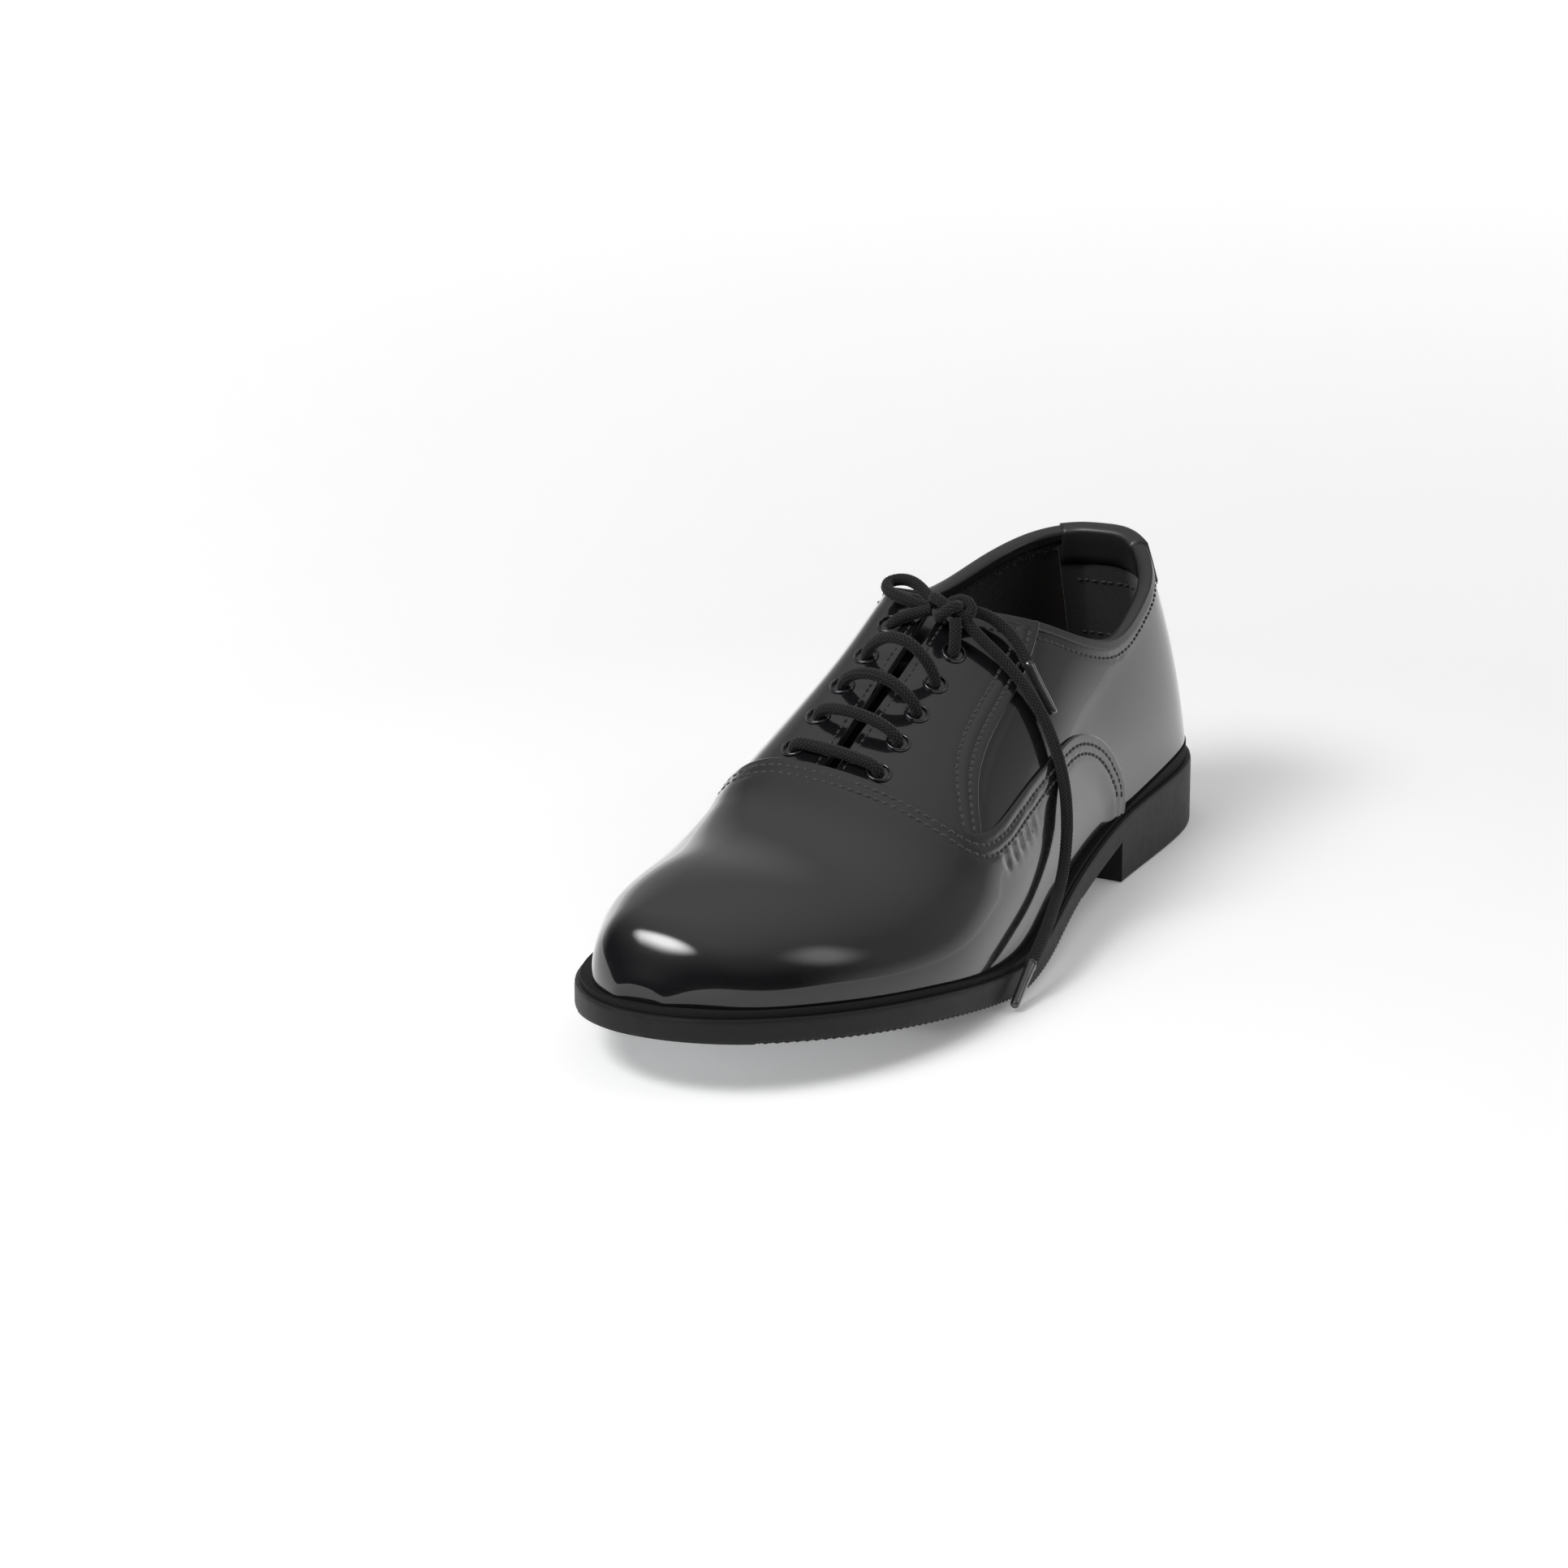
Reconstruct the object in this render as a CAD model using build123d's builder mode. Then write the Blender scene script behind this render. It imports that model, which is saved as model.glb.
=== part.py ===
from build123d import *
import math
import os

os.makedirs("parts", exist_ok=True)

# A left tap shoe, plain-vamp oxford. Toe to -Y, lateral side to +X, +Z up.
# Along the shoe, s is the distance forward of the heel's back edge.
# Sizes are in millimetres.

LENGTH = 300.0
HALF = LENGTH / 2
WIDE = 80.0
HIGH = 150.0
FAR = 220.0
BEHIND_HEEL = -40.0
PAST_TOE = 330.0

# thicknesses of the layers of the upper, from outside to inside
LEATHER = 1.2
STIFFENER = 1.0
LINING = 1.0
UPPER = LEATHER + STIFFENER + LINING
INSOLE = 2.0
SOCK = 1.0
TRIM_OUT = 0.8
TRIM_IN = 0.8
BINDING_HEIGHT = 3.0
BINDING_OVER = 0.4
TAB_HALF_WIDTH = 15.0
TAB_REACH = 60.0
TAB_DROP = 14.0
TAB_OVER = 1.0

# sole
HEEL_BREAST = 82.5
HEEL_REST = 0.3
SOLE_EDGE_INSET = 1.4
MARGIN = 14.0
RIB_PITCH = 2.4
RIB_DEPTH = 0.7
RIB_START = 118.0
RIB_END = 287.0
NOSE = [(287, 15.2), (300, 16.9), (320, 19.5)]

# shank under the arch
SHANK_X = -1.5
SHANK_HALF_WIDTH = 7.0
SHANK_THICK = 1.5
SHANK_RISE = 0.9
SHANK_START = 52.0
SHANK_END = 166.0

# taps
TAP_THICK = 1.6
TAP_INSET = 6.0
TAP_PROUD = HEEL_REST
TOE_TAP_START = 220.0
TOE_ARC_CENTRE = (-3.0, HALF - 196.0)
TOE_ARC_RADIUS = 40.0
HEEL_TAP_END = 40.0
HEEL_ARC_CENTRE = (0.0, HALF - 47.0)
HEEL_ARC_RADIUS = 21.0
# screws as (x, s)
TOE_SCREWS = [(-7.0, 284.0), (-31.0, 263.3), (22.0, 265.1), (-38.0, 238.0), (36.0, 240.0)]
HEEL_SCREWS = [(-22.5, 26.0), (-12.0, 11.0), (12.0, 11.0), (23.0, 26.0)]
TOE_SLOPE = math.atan2(3.3, 25.0)
SCREW_SINK = 0.15
SCREW_HEAD = 2.9
SCREW_SHANK = 1.3
SCREW_LENGTH = 7.0

# facing and lacing
SLOT_CENTRE = -4.5
SLOT_HALF = 2.4
FACING_TOP_S = 70.0
FACING_END_S = 192.5
FACING_FLOOR = 40.0
EYELETS = 5
EYELET_PITCH = 13.0
EYELET_FIRST_Y = -37.0
EYELET_X_FIRST = (-18.0, 9.0)
EYELET_X_STEP = (0.95, -0.65)
EYELET_BORE = 2.75
EYELET_BARREL = 3.05
EYELET_FLANGE = 3.7
FLANGE_THICK = 0.5
FLANGE_SINK = 0.15
BARREL_LENGTH = UPPER + 0.2

# tongue
TONGUE_DEPTH = 10.9
TONGUE_LEATHER = 1.2
TONGUE_LINING = 0.8
TONGUE_HALF_WIDTH = 24.0
TONGUE_ROOT_HALF = 18.0
TONGUE_TIP_S = 113.0
TONGUE_TIP_RADIUS = 15.0
TONGUE_ROOT_S = 212.0
TONGUE_ROOT_LENGTH = 5.0
TONGUE_GAP = 0.5
TONGUE_FIRST = 7
TONGUE_FINAL = 15

# lace: heights above the leather, then the knot, loop and ends as (x, y, z)
LACE_RADIUS = 1.8
LACE_UNDER = UPPER + 0.45 + LACE_RADIUS
LACE_OVER = FLANGE_THICK + 0.3 + LACE_RADIUS
BAR_LIFTS = (3.6, 6.0, 9.0, 12.0)
LONG_RUN_OFFSET = 5.4
RUN_CLEARANCE = 0.4
BEND_SHARE = 0.45
KNOT = Vector(2.6, 20.4, 92.8)
KNOT_HALF_WIDTH = 8.0
KNOT_HALF_HEIGHT = 5.0
LOOP = [(-4, 22.5, 92.5), (-9, 26, 95.5), (-15, 27.5, 97.3), (-19.5, 24, 96.8), (-17.5, 19, 95.5),
        (-11, 18, 94), (-4.5, 20, 92)]
LONG_END = [(6.4, 21, 90), (11.6, 21.2, 84.8), (17.6, 22.3, 79.8), (24.6, 22.8, 73), (31.2, 23, 63.8),
            (35.9, 22, 54.8), (39.6, 20.6, 45), (42.2, 17.2, 35), (44.8, 10.5, 26.2), (47.6, 1, 20.6),
            (50.6, -10.5, 17.2), (53.4, -22, 13.8), (55, -33, 9.8)]
SHORT_END = [(2.6, 20.4, 92.8), (5.4, 24, 91.6), (9.8, 29.2, 89.6), (15.4, 31.2, 85.4), (20.2, 30.8, 80.4),
             (23.6, 29.2, 76)]
AGLET_RADIUS = 1.6
LONG_AGLET_TIP = (56.4, -46.4, 2.2)
SHORT_AGLET_TIP = (32.4, 27.6, 63.2)

# the last: s, lateral and medial half widths at the feather, ridge x and z,
# lateral and medial fullness of the side, roundness of the arch
LAST = [
    (1.0, 8.0, -8.0, -0.5, 120.0, 0.0, 0.5, 0.46),
    (4.0, 15.5, -15.5, -0.5, 120.0, 0.0, 1.5, 0.46),
    (9.5, 22.0, -22.0, -1.5, 120.0, -0.5, 2.5, 0.46),
    (17.0, 27.0, -26.5, -3.0, 120.0, -0.5, 3.0, 0.46),
    (27.0, 30.5, -29.5, -4.0, 119.5, 0.0, 4.0, 0.46),
    (44.0, 32.5, -31.5, -7.0, 118.0, 1.5, 5.5, 0.46),
    (68.0, 33.5, -30.5, -11.0, 113.0, 3.5, 8.0, 0.47),
    (92.0, 34.5, -27.5, -15.5, 105.5, 5.5, 11.5, 0.48),
    (116.0, 37.0, -26.0, -17.5, 96.0, 6.5, 13.5, 0.50),
    (140.0, 40.5, -28.5, -17.5, 84.5, 6.5, 12.5, 0.52),
    (164.0, 45.5, -35.0, -17.0, 74.0, 5.0, 10.5, 0.53),
    (188.0, 49.0, -41.0, -16.0, 63.5, 3.5, 8.0, 0.55),
    (210.0, 50.0, -43.5, -15.5, 53.5, 2.5, 5.5, 0.57),
    (230.0, 47.5, -43.0, -14.5, 50.0, 1.5, 3.0, 0.58),
    (248.0, 42.5, -41.0, -13.5, 50.0, 1.0, 1.5, 0.58),
    (264.0, 35.5, -37.5, -12.5, 49.0, 1.0, 1.0, 0.60),
    (278.0, 26.5, -32.0, -11.5, 47.0, 0.5, 0.5, 0.60),
    (288.0, 16.0, -26.0, -10.5, 43.0, 0.5, 0.5, 0.60),
    (294.0, 4.0, -18.5, -9.0, 34.0, 0.0, 0.0, 0.60),
    (295.9, -1.5, -13.8, -8.5, 29.5, 0.0, 0.0, 0.60),
]
LEAN = 0.265
LEAN_REACH = 120.0
LEAN_PIVOT_Z = 24.0
ARCH_INWARD = 0.04
TOE_CAP_S = 210.0

# side view curves, as (s, z)
FEATHER = [(-20, 25.2), (0, 25.2), (30, 25.0), (60, 22.6), (82, 20.2), (100, 18.0), (125, 14.2),
           (150, 10.2), (175, 9.2), (200, 12.2), (225, 16.4), (250, 19.8), (275, 22.8), (300, 25.4),
           (320, 27.0)]
SOLE_TOP = [(-20, 20.5), (0, 20.5), (30, 20.5), (60, 20.2), (82, 19.0), (100, 16.6), (125, 12.6),
            (150, 8.5), (175, 7.3), (200, 10.4), (225, 14.5), (250, 17.8), (275, 20.8), (300, 23.4),
            (320, 25.0)]
WAIST = [(HEEL_BREAST, 12.4), (100, 9.5), (118, 6.9), (135, 3.8), (150, 1.3), (165, 0.2)]
FOREPART = [(165, 0.2), (178, 0.2), (200, 3.0), (225, 7.1), (250, 10.5), (275, 13.8), (300, 16.6),
            (320, 18.5)]
TOPLINE_LATERAL = [(-30, 100), (0, 93), (20, 87.5), (34, 79.6), (48, 74.8), (60, 71.4), (72, 70.6),
                   (82, 73.0), (92, 77.4), (101, 82.2), (111, 86.4), (122, 90.5), (140, 99)]
TOPLINE_MEDIAL = [(-30, 100), (0, 93), (20, 87.5), (37, 84), (58, 80.6), (76, 80), (98, 83.6), (112, 89),
                  (122, 93.5), (140, 102)]
VAMP_SEAM_TOP = [(193, 90), (192.5, 62)]
VAMP_SEAM = [(192.5, 62), (190.5, 54), (186, 46), (179, 44.2), (165, 45.4), (145, 49), (125, 52),
             (110, 52.8), (100, 50), (91, 44.5), (84, 37), (79.5, 30), (78, 22)]
QUARTER_SEAM = [(80, 104), (92, 91), (107, 80.5), (130.5, 70), (153, 61.5), (170, 53), (186, 40)]
TONGUE_FLOOR = [(70, 74), (116, 66), (164, 48), (200, 34), (230, 26)]
EYESTAY_TOP_S = 80.5
LINING_SEAM_S = 186.0
TOE_PUFF_S = 246.0
COUNTER_END_S = 78.0
RIM_END_S = 128.0
COUNTER_TOP = [(-30, 64), (10, 64), (40, 60), (62, 46), (74, 26), (78, -5)]

# sole outline, as (s, x)
OUTLINE_LATERAL = [(1.2, 9.0), (6.0, 19.5), (18.5, 29.5), (40, 34.2), (75, 36.0), (100, 38.0), (125, 41.5),
                   (150, 46.5), (175, 51.0), (200, 52.8), (222, 51.6), (244, 46.8), (264, 39.0), (280, 29.0),
                   (292, 17.0), (298.6, 4.0)]
OUTLINE_MEDIAL = [(1.2, -9.0), (6.0, -19.5), (18.5, -29.3), (40, -33.8), (75, -33.4), (100, -31.0),
                  (125, -30.6), (150, -35.0), (175, -42.0), (200, -48.0), (222, -49.8), (244, -48.0), (264, -43.2),
                  (280, -36.4), (292, -26.8), (298.6, -15.5)]
OUTLINE_TOE = (300.0, -6.0)
OUTLINE_HEEL = (0.0, 0.0)


def side(points):
    """Side view points (s, z) as (y, z) for the YZ plane."""
    return [(HALF - s, z) for s, z in points]


def raised(points, rise):
    """A side view curve moved up by rise."""
    return [(s, z + rise) for s, z in points]


def beyond(curve, rise, limit):
    """Everything between a side view curve, run on level at both ends, and a height."""
    points = side(raised(curve, rise))
    rear = points[0]
    front = points[-1]
    with BuildPart() as prism:
        with BuildSketch(Plane.YZ):
            with BuildLine():
                Spline(*points)
                Polyline(front, (-FAR, front[1]), (-FAR, limit), (FAR, limit), (FAR, rear[1]), rear)
            make_face()
        extrude(amount=WIDE, both=True)
    return prism.part


def above(curve, rise=0.0):
    """Everything above a side view curve."""
    return beyond(curve, rise, HIGH)


def below(curve, rise=0.0):
    """Everything below a side view curve."""
    return beyond(curve, rise, -HIGH)


def slab(s_low, s_high, x_low=-WIDE, x_high=WIDE, z_low=-HIGH, z_high=HIGH):
    """A box given by its range along, across and up the shoe."""
    with BuildPart() as block:
        with Locations(((x_low + x_high) / 2, HALF - (s_low + s_high) / 2, (z_low + z_high) / 2)):
            Box(x_high - x_low, s_high - s_low, z_high - z_low)
    return block.part


def unit(a, b):
    """The direction of a plane vector."""
    size = math.hypot(a, b)
    return a / size, b / size


def last_section(index, depth):
    """Plane and section numbers of one last station, moved outwards by depth."""
    before = LAST[max(index - 1, 0)]
    after = LAST[min(index + 1, len(LAST) - 1)]
    s, lateral, medial, ridge_x, ridge_z, full_lateral, full_medial, roundness = LAST[index]
    ds = after[0] - before[0]
    along_lateral, out_lateral = unit(before[1] - after[1], ds)
    along_medial, out_medial = unit(after[2] - before[2], ds)
    along_ridge, out_ridge = unit(before[4] - after[4], ds)
    along = (along_lateral + along_medial) / 2
    if s > TOE_CAP_S:
        along = (along_lateral + along_medial + along_ridge) / 3
    fade = max(0.0, 1 - s / LEAN_REACH) ** 2
    return {
        "s": s + depth * along,
        "lateral": lateral + depth * out_lateral,
        "medial": medial - depth * out_medial,
        "ridge": (ridge_x, ridge_z + depth * out_ridge),
        "full": (full_lateral, full_medial),
        "round": roundness,
        "lean": LEAN * fade,
    }


def stepped_height(curve, s):
    """Height of a side view curve at s, by straight steps between its points."""
    for (s0, z0), (s1, z1) in zip(curve, curve[1:]):
        if s0 <= s <= s1:
            return z0 + (z1 - z0) * (s - s0) / (s1 - s0)
    return curve[-1][1]


def last_body(depth, first=0, final=len(LAST)):
    """The last's outer shape, moved outwards by depth and run down to the floor."""
    with BuildPart() as body:
        for index in range(first, final):
            cut = last_section(index, depth)
            stretch = math.hypot(1, cut["lean"])
            base = (stepped_height(FEATHER, cut["s"]) - LEAN_PIVOT_Z) * stretch
            foot = -LEAN_PIVOT_Z * stretch
            top_x, top_z = cut["ridge"]
            top = (top_z - LEAN_PIVOT_Z) * stretch
            rise = (top - base) * cut["round"]
            inward = cut["round"] + ARCH_INWARD
            right = cut["lateral"]
            left = cut["medial"]
            right_out = right + cut["full"][0]
            left_out = left - cut["full"][1]
            origin = (0, HALF - cut["s"], LEAN_PIVOT_Z)
            plane = Plane(origin=origin, x_dir=(1, 0, 0), z_dir=(0, -1, -cut["lean"]))
            with BuildSketch(plane):
                with BuildLine():
                    Bezier((right, base), (right_out, base + rise), (top_x + inward * (right_out - top_x), top),
                           (top_x, top))
                    Bezier((top_x, top), (top_x + inward * (left_out - top_x), top), (left_out, base + rise),
                           (left, base))
                    Polyline((left, base), (left, foot), (right, foot), (right, base))
                make_face()
        loft()
    return body.part


def inset_side(points, inset, outward):
    """One side of the plan outline as (x, y), each point moved in square to its neighbours."""
    moved = []
    for before, here, after in zip(points, points[1:], points[2:]):
        across, along = unit(after[1] - before[1], after[0] - before[0])
        moved.append((here[1] - outward * along * inset, HALF - here[0] - outward * across * inset))
    return moved


def outline_prism(inset=0.0):
    """The sole's plan outline, moved in by inset, as a tall prism."""
    heel = (OUTLINE_HEEL[1], HALF - OUTLINE_HEEL[0] - inset)
    toe = (OUTLINE_TOE[1], HALF - OUTLINE_TOE[0] + inset)
    right = inset_side([OUTLINE_HEEL] + OUTLINE_LATERAL + [OUTLINE_TOE], inset, 1)
    left = inset_side([OUTLINE_HEEL] + OUTLINE_MEDIAL + [OUTLINE_TOE], inset, -1)
    with BuildPart() as prism:
        with BuildSketch(Plane.XY.offset(-HIGH)):
            with BuildLine():
                Spline(heel, *right, toe)
                Spline(heel, *left, toe)
            make_face()
        extrude(amount=2 * HIGH)
    return prism.part


def half_prism():
    """The lateral half of space, split on the facing slot and the back seam."""
    with BuildPart() as prism:
        with BuildSketch(Plane.XY.offset(-HIGH)):
            with BuildLine():
                Polyline((SLOT_CENTRE, -FAR), (SLOT_CENTRE, 40), (0, 110), (0, FAR), (WIDE, FAR), (WIDE, -FAR),
                         (SLOT_CENTRE, -FAR))
            make_face()
        extrude(amount=2 * HIGH)
    return prism.part


def joined(first, second):
    """Two regions as one."""
    with BuildPart() as both:
        add(first)
        add(second)
    return both.part


def common(first, second):
    """What two regions share."""
    with BuildPart() as both:
        add(first)
        add(second, mode=Mode.INTERSECT)
    return both.part


def without(first, *others):
    """A region less some others."""
    with BuildPart() as rest:
        add(first)
        for other in others:
            add(other, mode=Mode.SUBTRACT)
    return rest.part


def export(name, part):
    """Label a finished piece and write its file."""
    part.label = name
    export_step(part, f"parts/{name}.step")


# ---------------------------------------------------------------- shapes shared by the pieces

skin = last_body(0)
skin_inside = last_body(-LEATHER)
lining_outside = last_body(-LEATHER - STIFFENER)
foot_space = last_body(-UPPER)
trim_outside = last_body(TRIM_OUT)
trim_inside = last_body(-UPPER - TRIM_IN)

lateral_half = half_prism()
medial_half = without(slab(-HIGH, 2 * LENGTH), lateral_half)


def under_topline(drop):
    """Everything lower than the shoe's mouth, less a strip of height drop."""
    lateral = common(below(TOPLINE_LATERAL, -drop), lateral_half)
    medial = common(below(TOPLINE_MEDIAL, -drop), medial_half)
    return joined(lateral, medial)


mouth = under_topline(BINDING_HEIGHT)
binding_top = under_topline(-BINDING_OVER)
tab_top = under_topline(-TAB_OVER)
tab_zone = slab(BEHIND_HEEL, TAB_REACH, -TAB_HALF_WIDTH, TAB_HALF_WIDTH)
facing_gap = slab(FACING_TOP_S, FACING_END_S, SLOT_CENTRE - SLOT_HALF, SLOT_CENTRE + SLOT_HALF, FACING_FLOOR)
margin_hole = common(outline_prism(MARGIN), below(FEATHER, UPPER))


def vamp_region():
    """The vamp's stretch in side view: toe, wings and the lobes at the waist."""
    with BuildPart() as region:
        with BuildSketch(Plane.YZ):
            with BuildLine():
                Line(*side(VAMP_SEAM_TOP))
                Spline(*side(VAMP_SEAM))
                Polyline(*side([VAMP_SEAM[-1], (78, -HIGH), (340, -HIGH), (340, 90), VAMP_SEAM_TOP[0]]))
            make_face()
        extrude(amount=WIDE, both=True)
    return region.part


vamp_zone = vamp_region()
eyestay_zone = without(above(QUARTER_SEAM), slab(BEHIND_HEEL, EYESTAY_TOP_S))
counter_zone = common(below(COUNTER_TOP), slab(BEHIND_HEEL, COUNTER_END_S))


# each layer is its outer solid less its inner one, less the hole inside the margin
skin_solid = common(skin, above(FEATHER))
middle_solid = common(skin_inside, above(FEATHER, LEATHER))
lining_solid = common(lining_outside, above(FEATHER, LEATHER + STIFFENER))
foot_solid = common(foot_space, above(FEATHER, UPPER))


def shell(bulk, hollow):
    """A wall of the upper: a bulk piece less what is inside it."""
    return without(bulk, hollow, margin_hole)


# ---------------------------------------------------------------- eyelets



def eyelet_seat(side_index, number):
    """Surface point and outward direction at one eyelet."""
    x = EYELET_X_FIRST[side_index] + EYELET_X_STEP[side_index] * number
    y = EYELET_FIRST_Y + EYELET_PITCH * number
    hits = skin.find_intersection_points(Axis((x, y, HIGH), (0, 0, -1)))
    point, normal = max(hits, key=lambda hit: hit[0].Z)
    if normal.Z < 0:
        normal = -normal
    return point, normal


def eyelet_plug(seat):
    """The space that an eyelet and its bore take."""
    point, normal = seat
    with BuildPart() as plug:
        with BuildSketch(Plane(origin=point - normal * FLANGE_SINK, z_dir=normal)):
            Circle(EYELET_FLANGE)
        extrude(amount=FLANGE_SINK + FLANGE_THICK)
        with BuildSketch(Plane(origin=point - normal * BARREL_LENGTH, z_dir=normal)):
            Circle(EYELET_BARREL)
        extrude(amount=BARREL_LENGTH)
        with BuildSketch(Plane(origin=point - normal * (UPPER - FLANGE_SINK), z_dir=-normal)):
            Circle(EYELET_FLANGE)
        extrude(amount=FLANGE_SINK + FLANGE_THICK)
    return plug.part


def bore(seat):
    """The hole through an eyelet."""
    point, normal = seat
    with BuildPart() as hole:
        with BuildSketch(Plane(origin=point - normal * 2 * UPPER, z_dir=normal)):
            Circle(EYELET_BORE)
        extrude(amount=4 * UPPER)
    return hole.part


medial_seats = [eyelet_seat(0, number) for number in range(EYELETS)]
lateral_seats = [eyelet_seat(1, number) for number in range(EYELETS)]
medial_plugs = [eyelet_plug(seat) for seat in medial_seats]
lateral_plugs = [eyelet_plug(seat) for seat in lateral_seats]
all_plugs = medial_plugs + lateral_plugs

for name, seats, plugs in (("medial_eyelets", medial_seats, medial_plugs),
                           ("lateral_eyelets", lateral_seats, lateral_plugs)):
    with BuildPart() as eyelets:
        for seat, plug in zip(seats, plugs):
            add(plug)
            add(bore(seat), mode=Mode.SUBTRACT)
    export(name, eyelets.part)

# ---------------------------------------------------------------- outer leathers

with BuildPart() as vamp:
    add(skin_solid)
    add(vamp_zone, mode=Mode.INTERSECT)
    add(middle_solid, mode=Mode.SUBTRACT)
    add(margin_hole, mode=Mode.SUBTRACT)
export("vamp", vamp.part)

behind_vamp = without(common(skin_solid, mouth), vamp_zone)
eyestays = without(shell(common(behind_vamp, eyestay_zone), middle_solid), facing_gap, *all_plugs)
quarters = shell(without(behind_vamp, eyestay_zone), middle_solid)

for name, leather in (("eyestay", eyestays), ("quarter", quarters)):
    with BuildPart() as lateral_leather:
        add(leather)
        add(lateral_half, mode=Mode.INTERSECT)
    export("lateral_" + name, lateral_leather.part)
    with BuildPart() as medial_leather:
        add(leather)
        add(lateral_half, mode=Mode.SUBTRACT)
    export("medial_" + name, medial_leather.part)

# ---------------------------------------------------------------- stiffeners between leather and lining

with BuildPart() as toe_puff:
    add(middle_solid)
    add(slab(TOE_PUFF_S, PAST_TOE), mode=Mode.INTERSECT)
    add(lining_solid, mode=Mode.SUBTRACT)
    add(margin_hole, mode=Mode.SUBTRACT)
export("toe_puff", toe_puff.part)

with BuildPart() as heel_counter:
    add(middle_solid)
    add(counter_zone, mode=Mode.INTERSECT)
    add(lining_solid, mode=Mode.SUBTRACT)
    add(margin_hole, mode=Mode.SUBTRACT)
export("heel_counter", heel_counter.part)

with BuildPart() as vamp_interlining:
    add(middle_solid)
    add(vamp_zone, mode=Mode.INTERSECT)
    add(slab(TOE_PUFF_S, PAST_TOE), mode=Mode.SUBTRACT)
    add(counter_zone, mode=Mode.SUBTRACT)
    add(lining_solid, mode=Mode.SUBTRACT)
    add(margin_hole, mode=Mode.SUBTRACT)
export("vamp_interlining", vamp_interlining.part)

middle_rear = without(common(middle_solid, mouth), vamp_zone)
stays = without(shell(common(middle_rear, eyestay_zone), lining_solid), facing_gap, *all_plugs)

with BuildPart() as lateral_facing_stay:
    add(stays)
    add(lateral_half, mode=Mode.INTERSECT)
export("lateral_facing_stay", lateral_facing_stay.part)

with BuildPart() as medial_facing_stay:
    add(stays)
    add(lateral_half, mode=Mode.SUBTRACT)
export("medial_facing_stay", medial_facing_stay.part)

with BuildPart() as quarter_interlining:
    add(middle_rear)
    add(eyestay_zone, mode=Mode.SUBTRACT)
    add(counter_zone, mode=Mode.SUBTRACT)
    add(lining_solid, mode=Mode.SUBTRACT)
    add(margin_hole, mode=Mode.SUBTRACT)
export("quarter_interlining", quarter_interlining.part)

# ---------------------------------------------------------------- linings

with BuildPart() as vamp_lining:
    add(lining_solid)
    add(slab(LINING_SEAM_S, PAST_TOE), mode=Mode.INTERSECT)
    add(foot_solid, mode=Mode.SUBTRACT)
    add(margin_hole, mode=Mode.SUBTRACT)
    add(facing_gap, mode=Mode.SUBTRACT)
    for plug in all_plugs:
        add(plug, mode=Mode.SUBTRACT)
export("vamp_lining", vamp_lining.part)

rear_lining = shell(common(common(lining_solid, mouth), slab(BEHIND_HEEL, LINING_SEAM_S)), foot_solid)
rear_lining = without(rear_lining, facing_gap, *all_plugs)

with BuildPart() as lateral_quarter_lining:
    add(rear_lining)
    add(lateral_half, mode=Mode.INTERSECT)
export("lateral_quarter_lining", lateral_quarter_lining.part)

with BuildPart() as medial_quarter_lining:
    add(rear_lining)
    add(lateral_half, mode=Mode.SUBTRACT)
export("medial_quarter_lining", medial_quarter_lining.part)

# ---------------------------------------------------------------- topline binding and heel tab

rim_zone = common(trim_outside, slab(BEHIND_HEEL, RIM_END_S))

with BuildPart() as topline_binding:
    add(rim_zone)
    add(binding_top, mode=Mode.INTERSECT)
    add(mouth, mode=Mode.SUBTRACT)
    add(trim_inside, mode=Mode.SUBTRACT)
    add(tab_zone, mode=Mode.SUBTRACT)
    add(facing_gap, mode=Mode.SUBTRACT)
export("topline_binding", topline_binding.part)

tab_core = common(trim_outside, tab_zone)
walls_under_tab = without(common(skin_solid, mouth), foot_solid)

with BuildPart() as heel_tab:
    add(tab_core)
    add(tab_top, mode=Mode.INTERSECT)
    add(under_topline(TAB_DROP), mode=Mode.SUBTRACT)
    add(trim_inside, mode=Mode.SUBTRACT)
    add(walls_under_tab, mode=Mode.SUBTRACT)
export("heel_tab", heel_tab.part)

# ---------------------------------------------------------------- bottom of the shoe

TREAD = WAIST[2:] + FOREPART[1:-2] + [NOSE[0]]


def sole_bottom():
    """Side view region above the sole's underside, with the ribbed tread."""
    with BuildPart() as region:
        with BuildSketch(Plane.YZ):
            with BuildLine() as underside:
                tread = Spline(*side(TREAD), mode=Mode.PRIVATE)
                count = 2 * int((RIB_END - RIB_START) / RIB_PITCH)
                ribs = []
                for step in range(count + 1):
                    tip = tread @ (step / count)
                    ribs.append((tip.X, tip.Y + RIB_DEPTH * (step % 2)))
                heel_front = (HALF - HEEL_BREAST, HEEL_REST)
                waist = Spline(*side(WAIST[:3]))
                Line(heel_front, waist @ 0)
                Polyline(*ribs)
                nose = side(NOSE)
                Spline(*nose)
                Polyline(nose[-1], (nose[-1][0], HIGH), (FAR, HIGH), (FAR, HEEL_REST), heel_front)
            make_face()
        extrude(amount=WIDE, both=True)
    return region.part


TAP_FACE = [(s, z - TAP_PROUD) for s, z in FOREPART]


def arc_cutter(centre, radius):
    """A tall round bar that gives a tap its hollow back edge."""
    with BuildPart() as cutter:
        with BuildSketch(Plane.XY.offset(-HIGH)):
            with Locations(centre):
                Circle(radius)
        extrude(amount=2 * HIGH)
    return cutter.part


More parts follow.
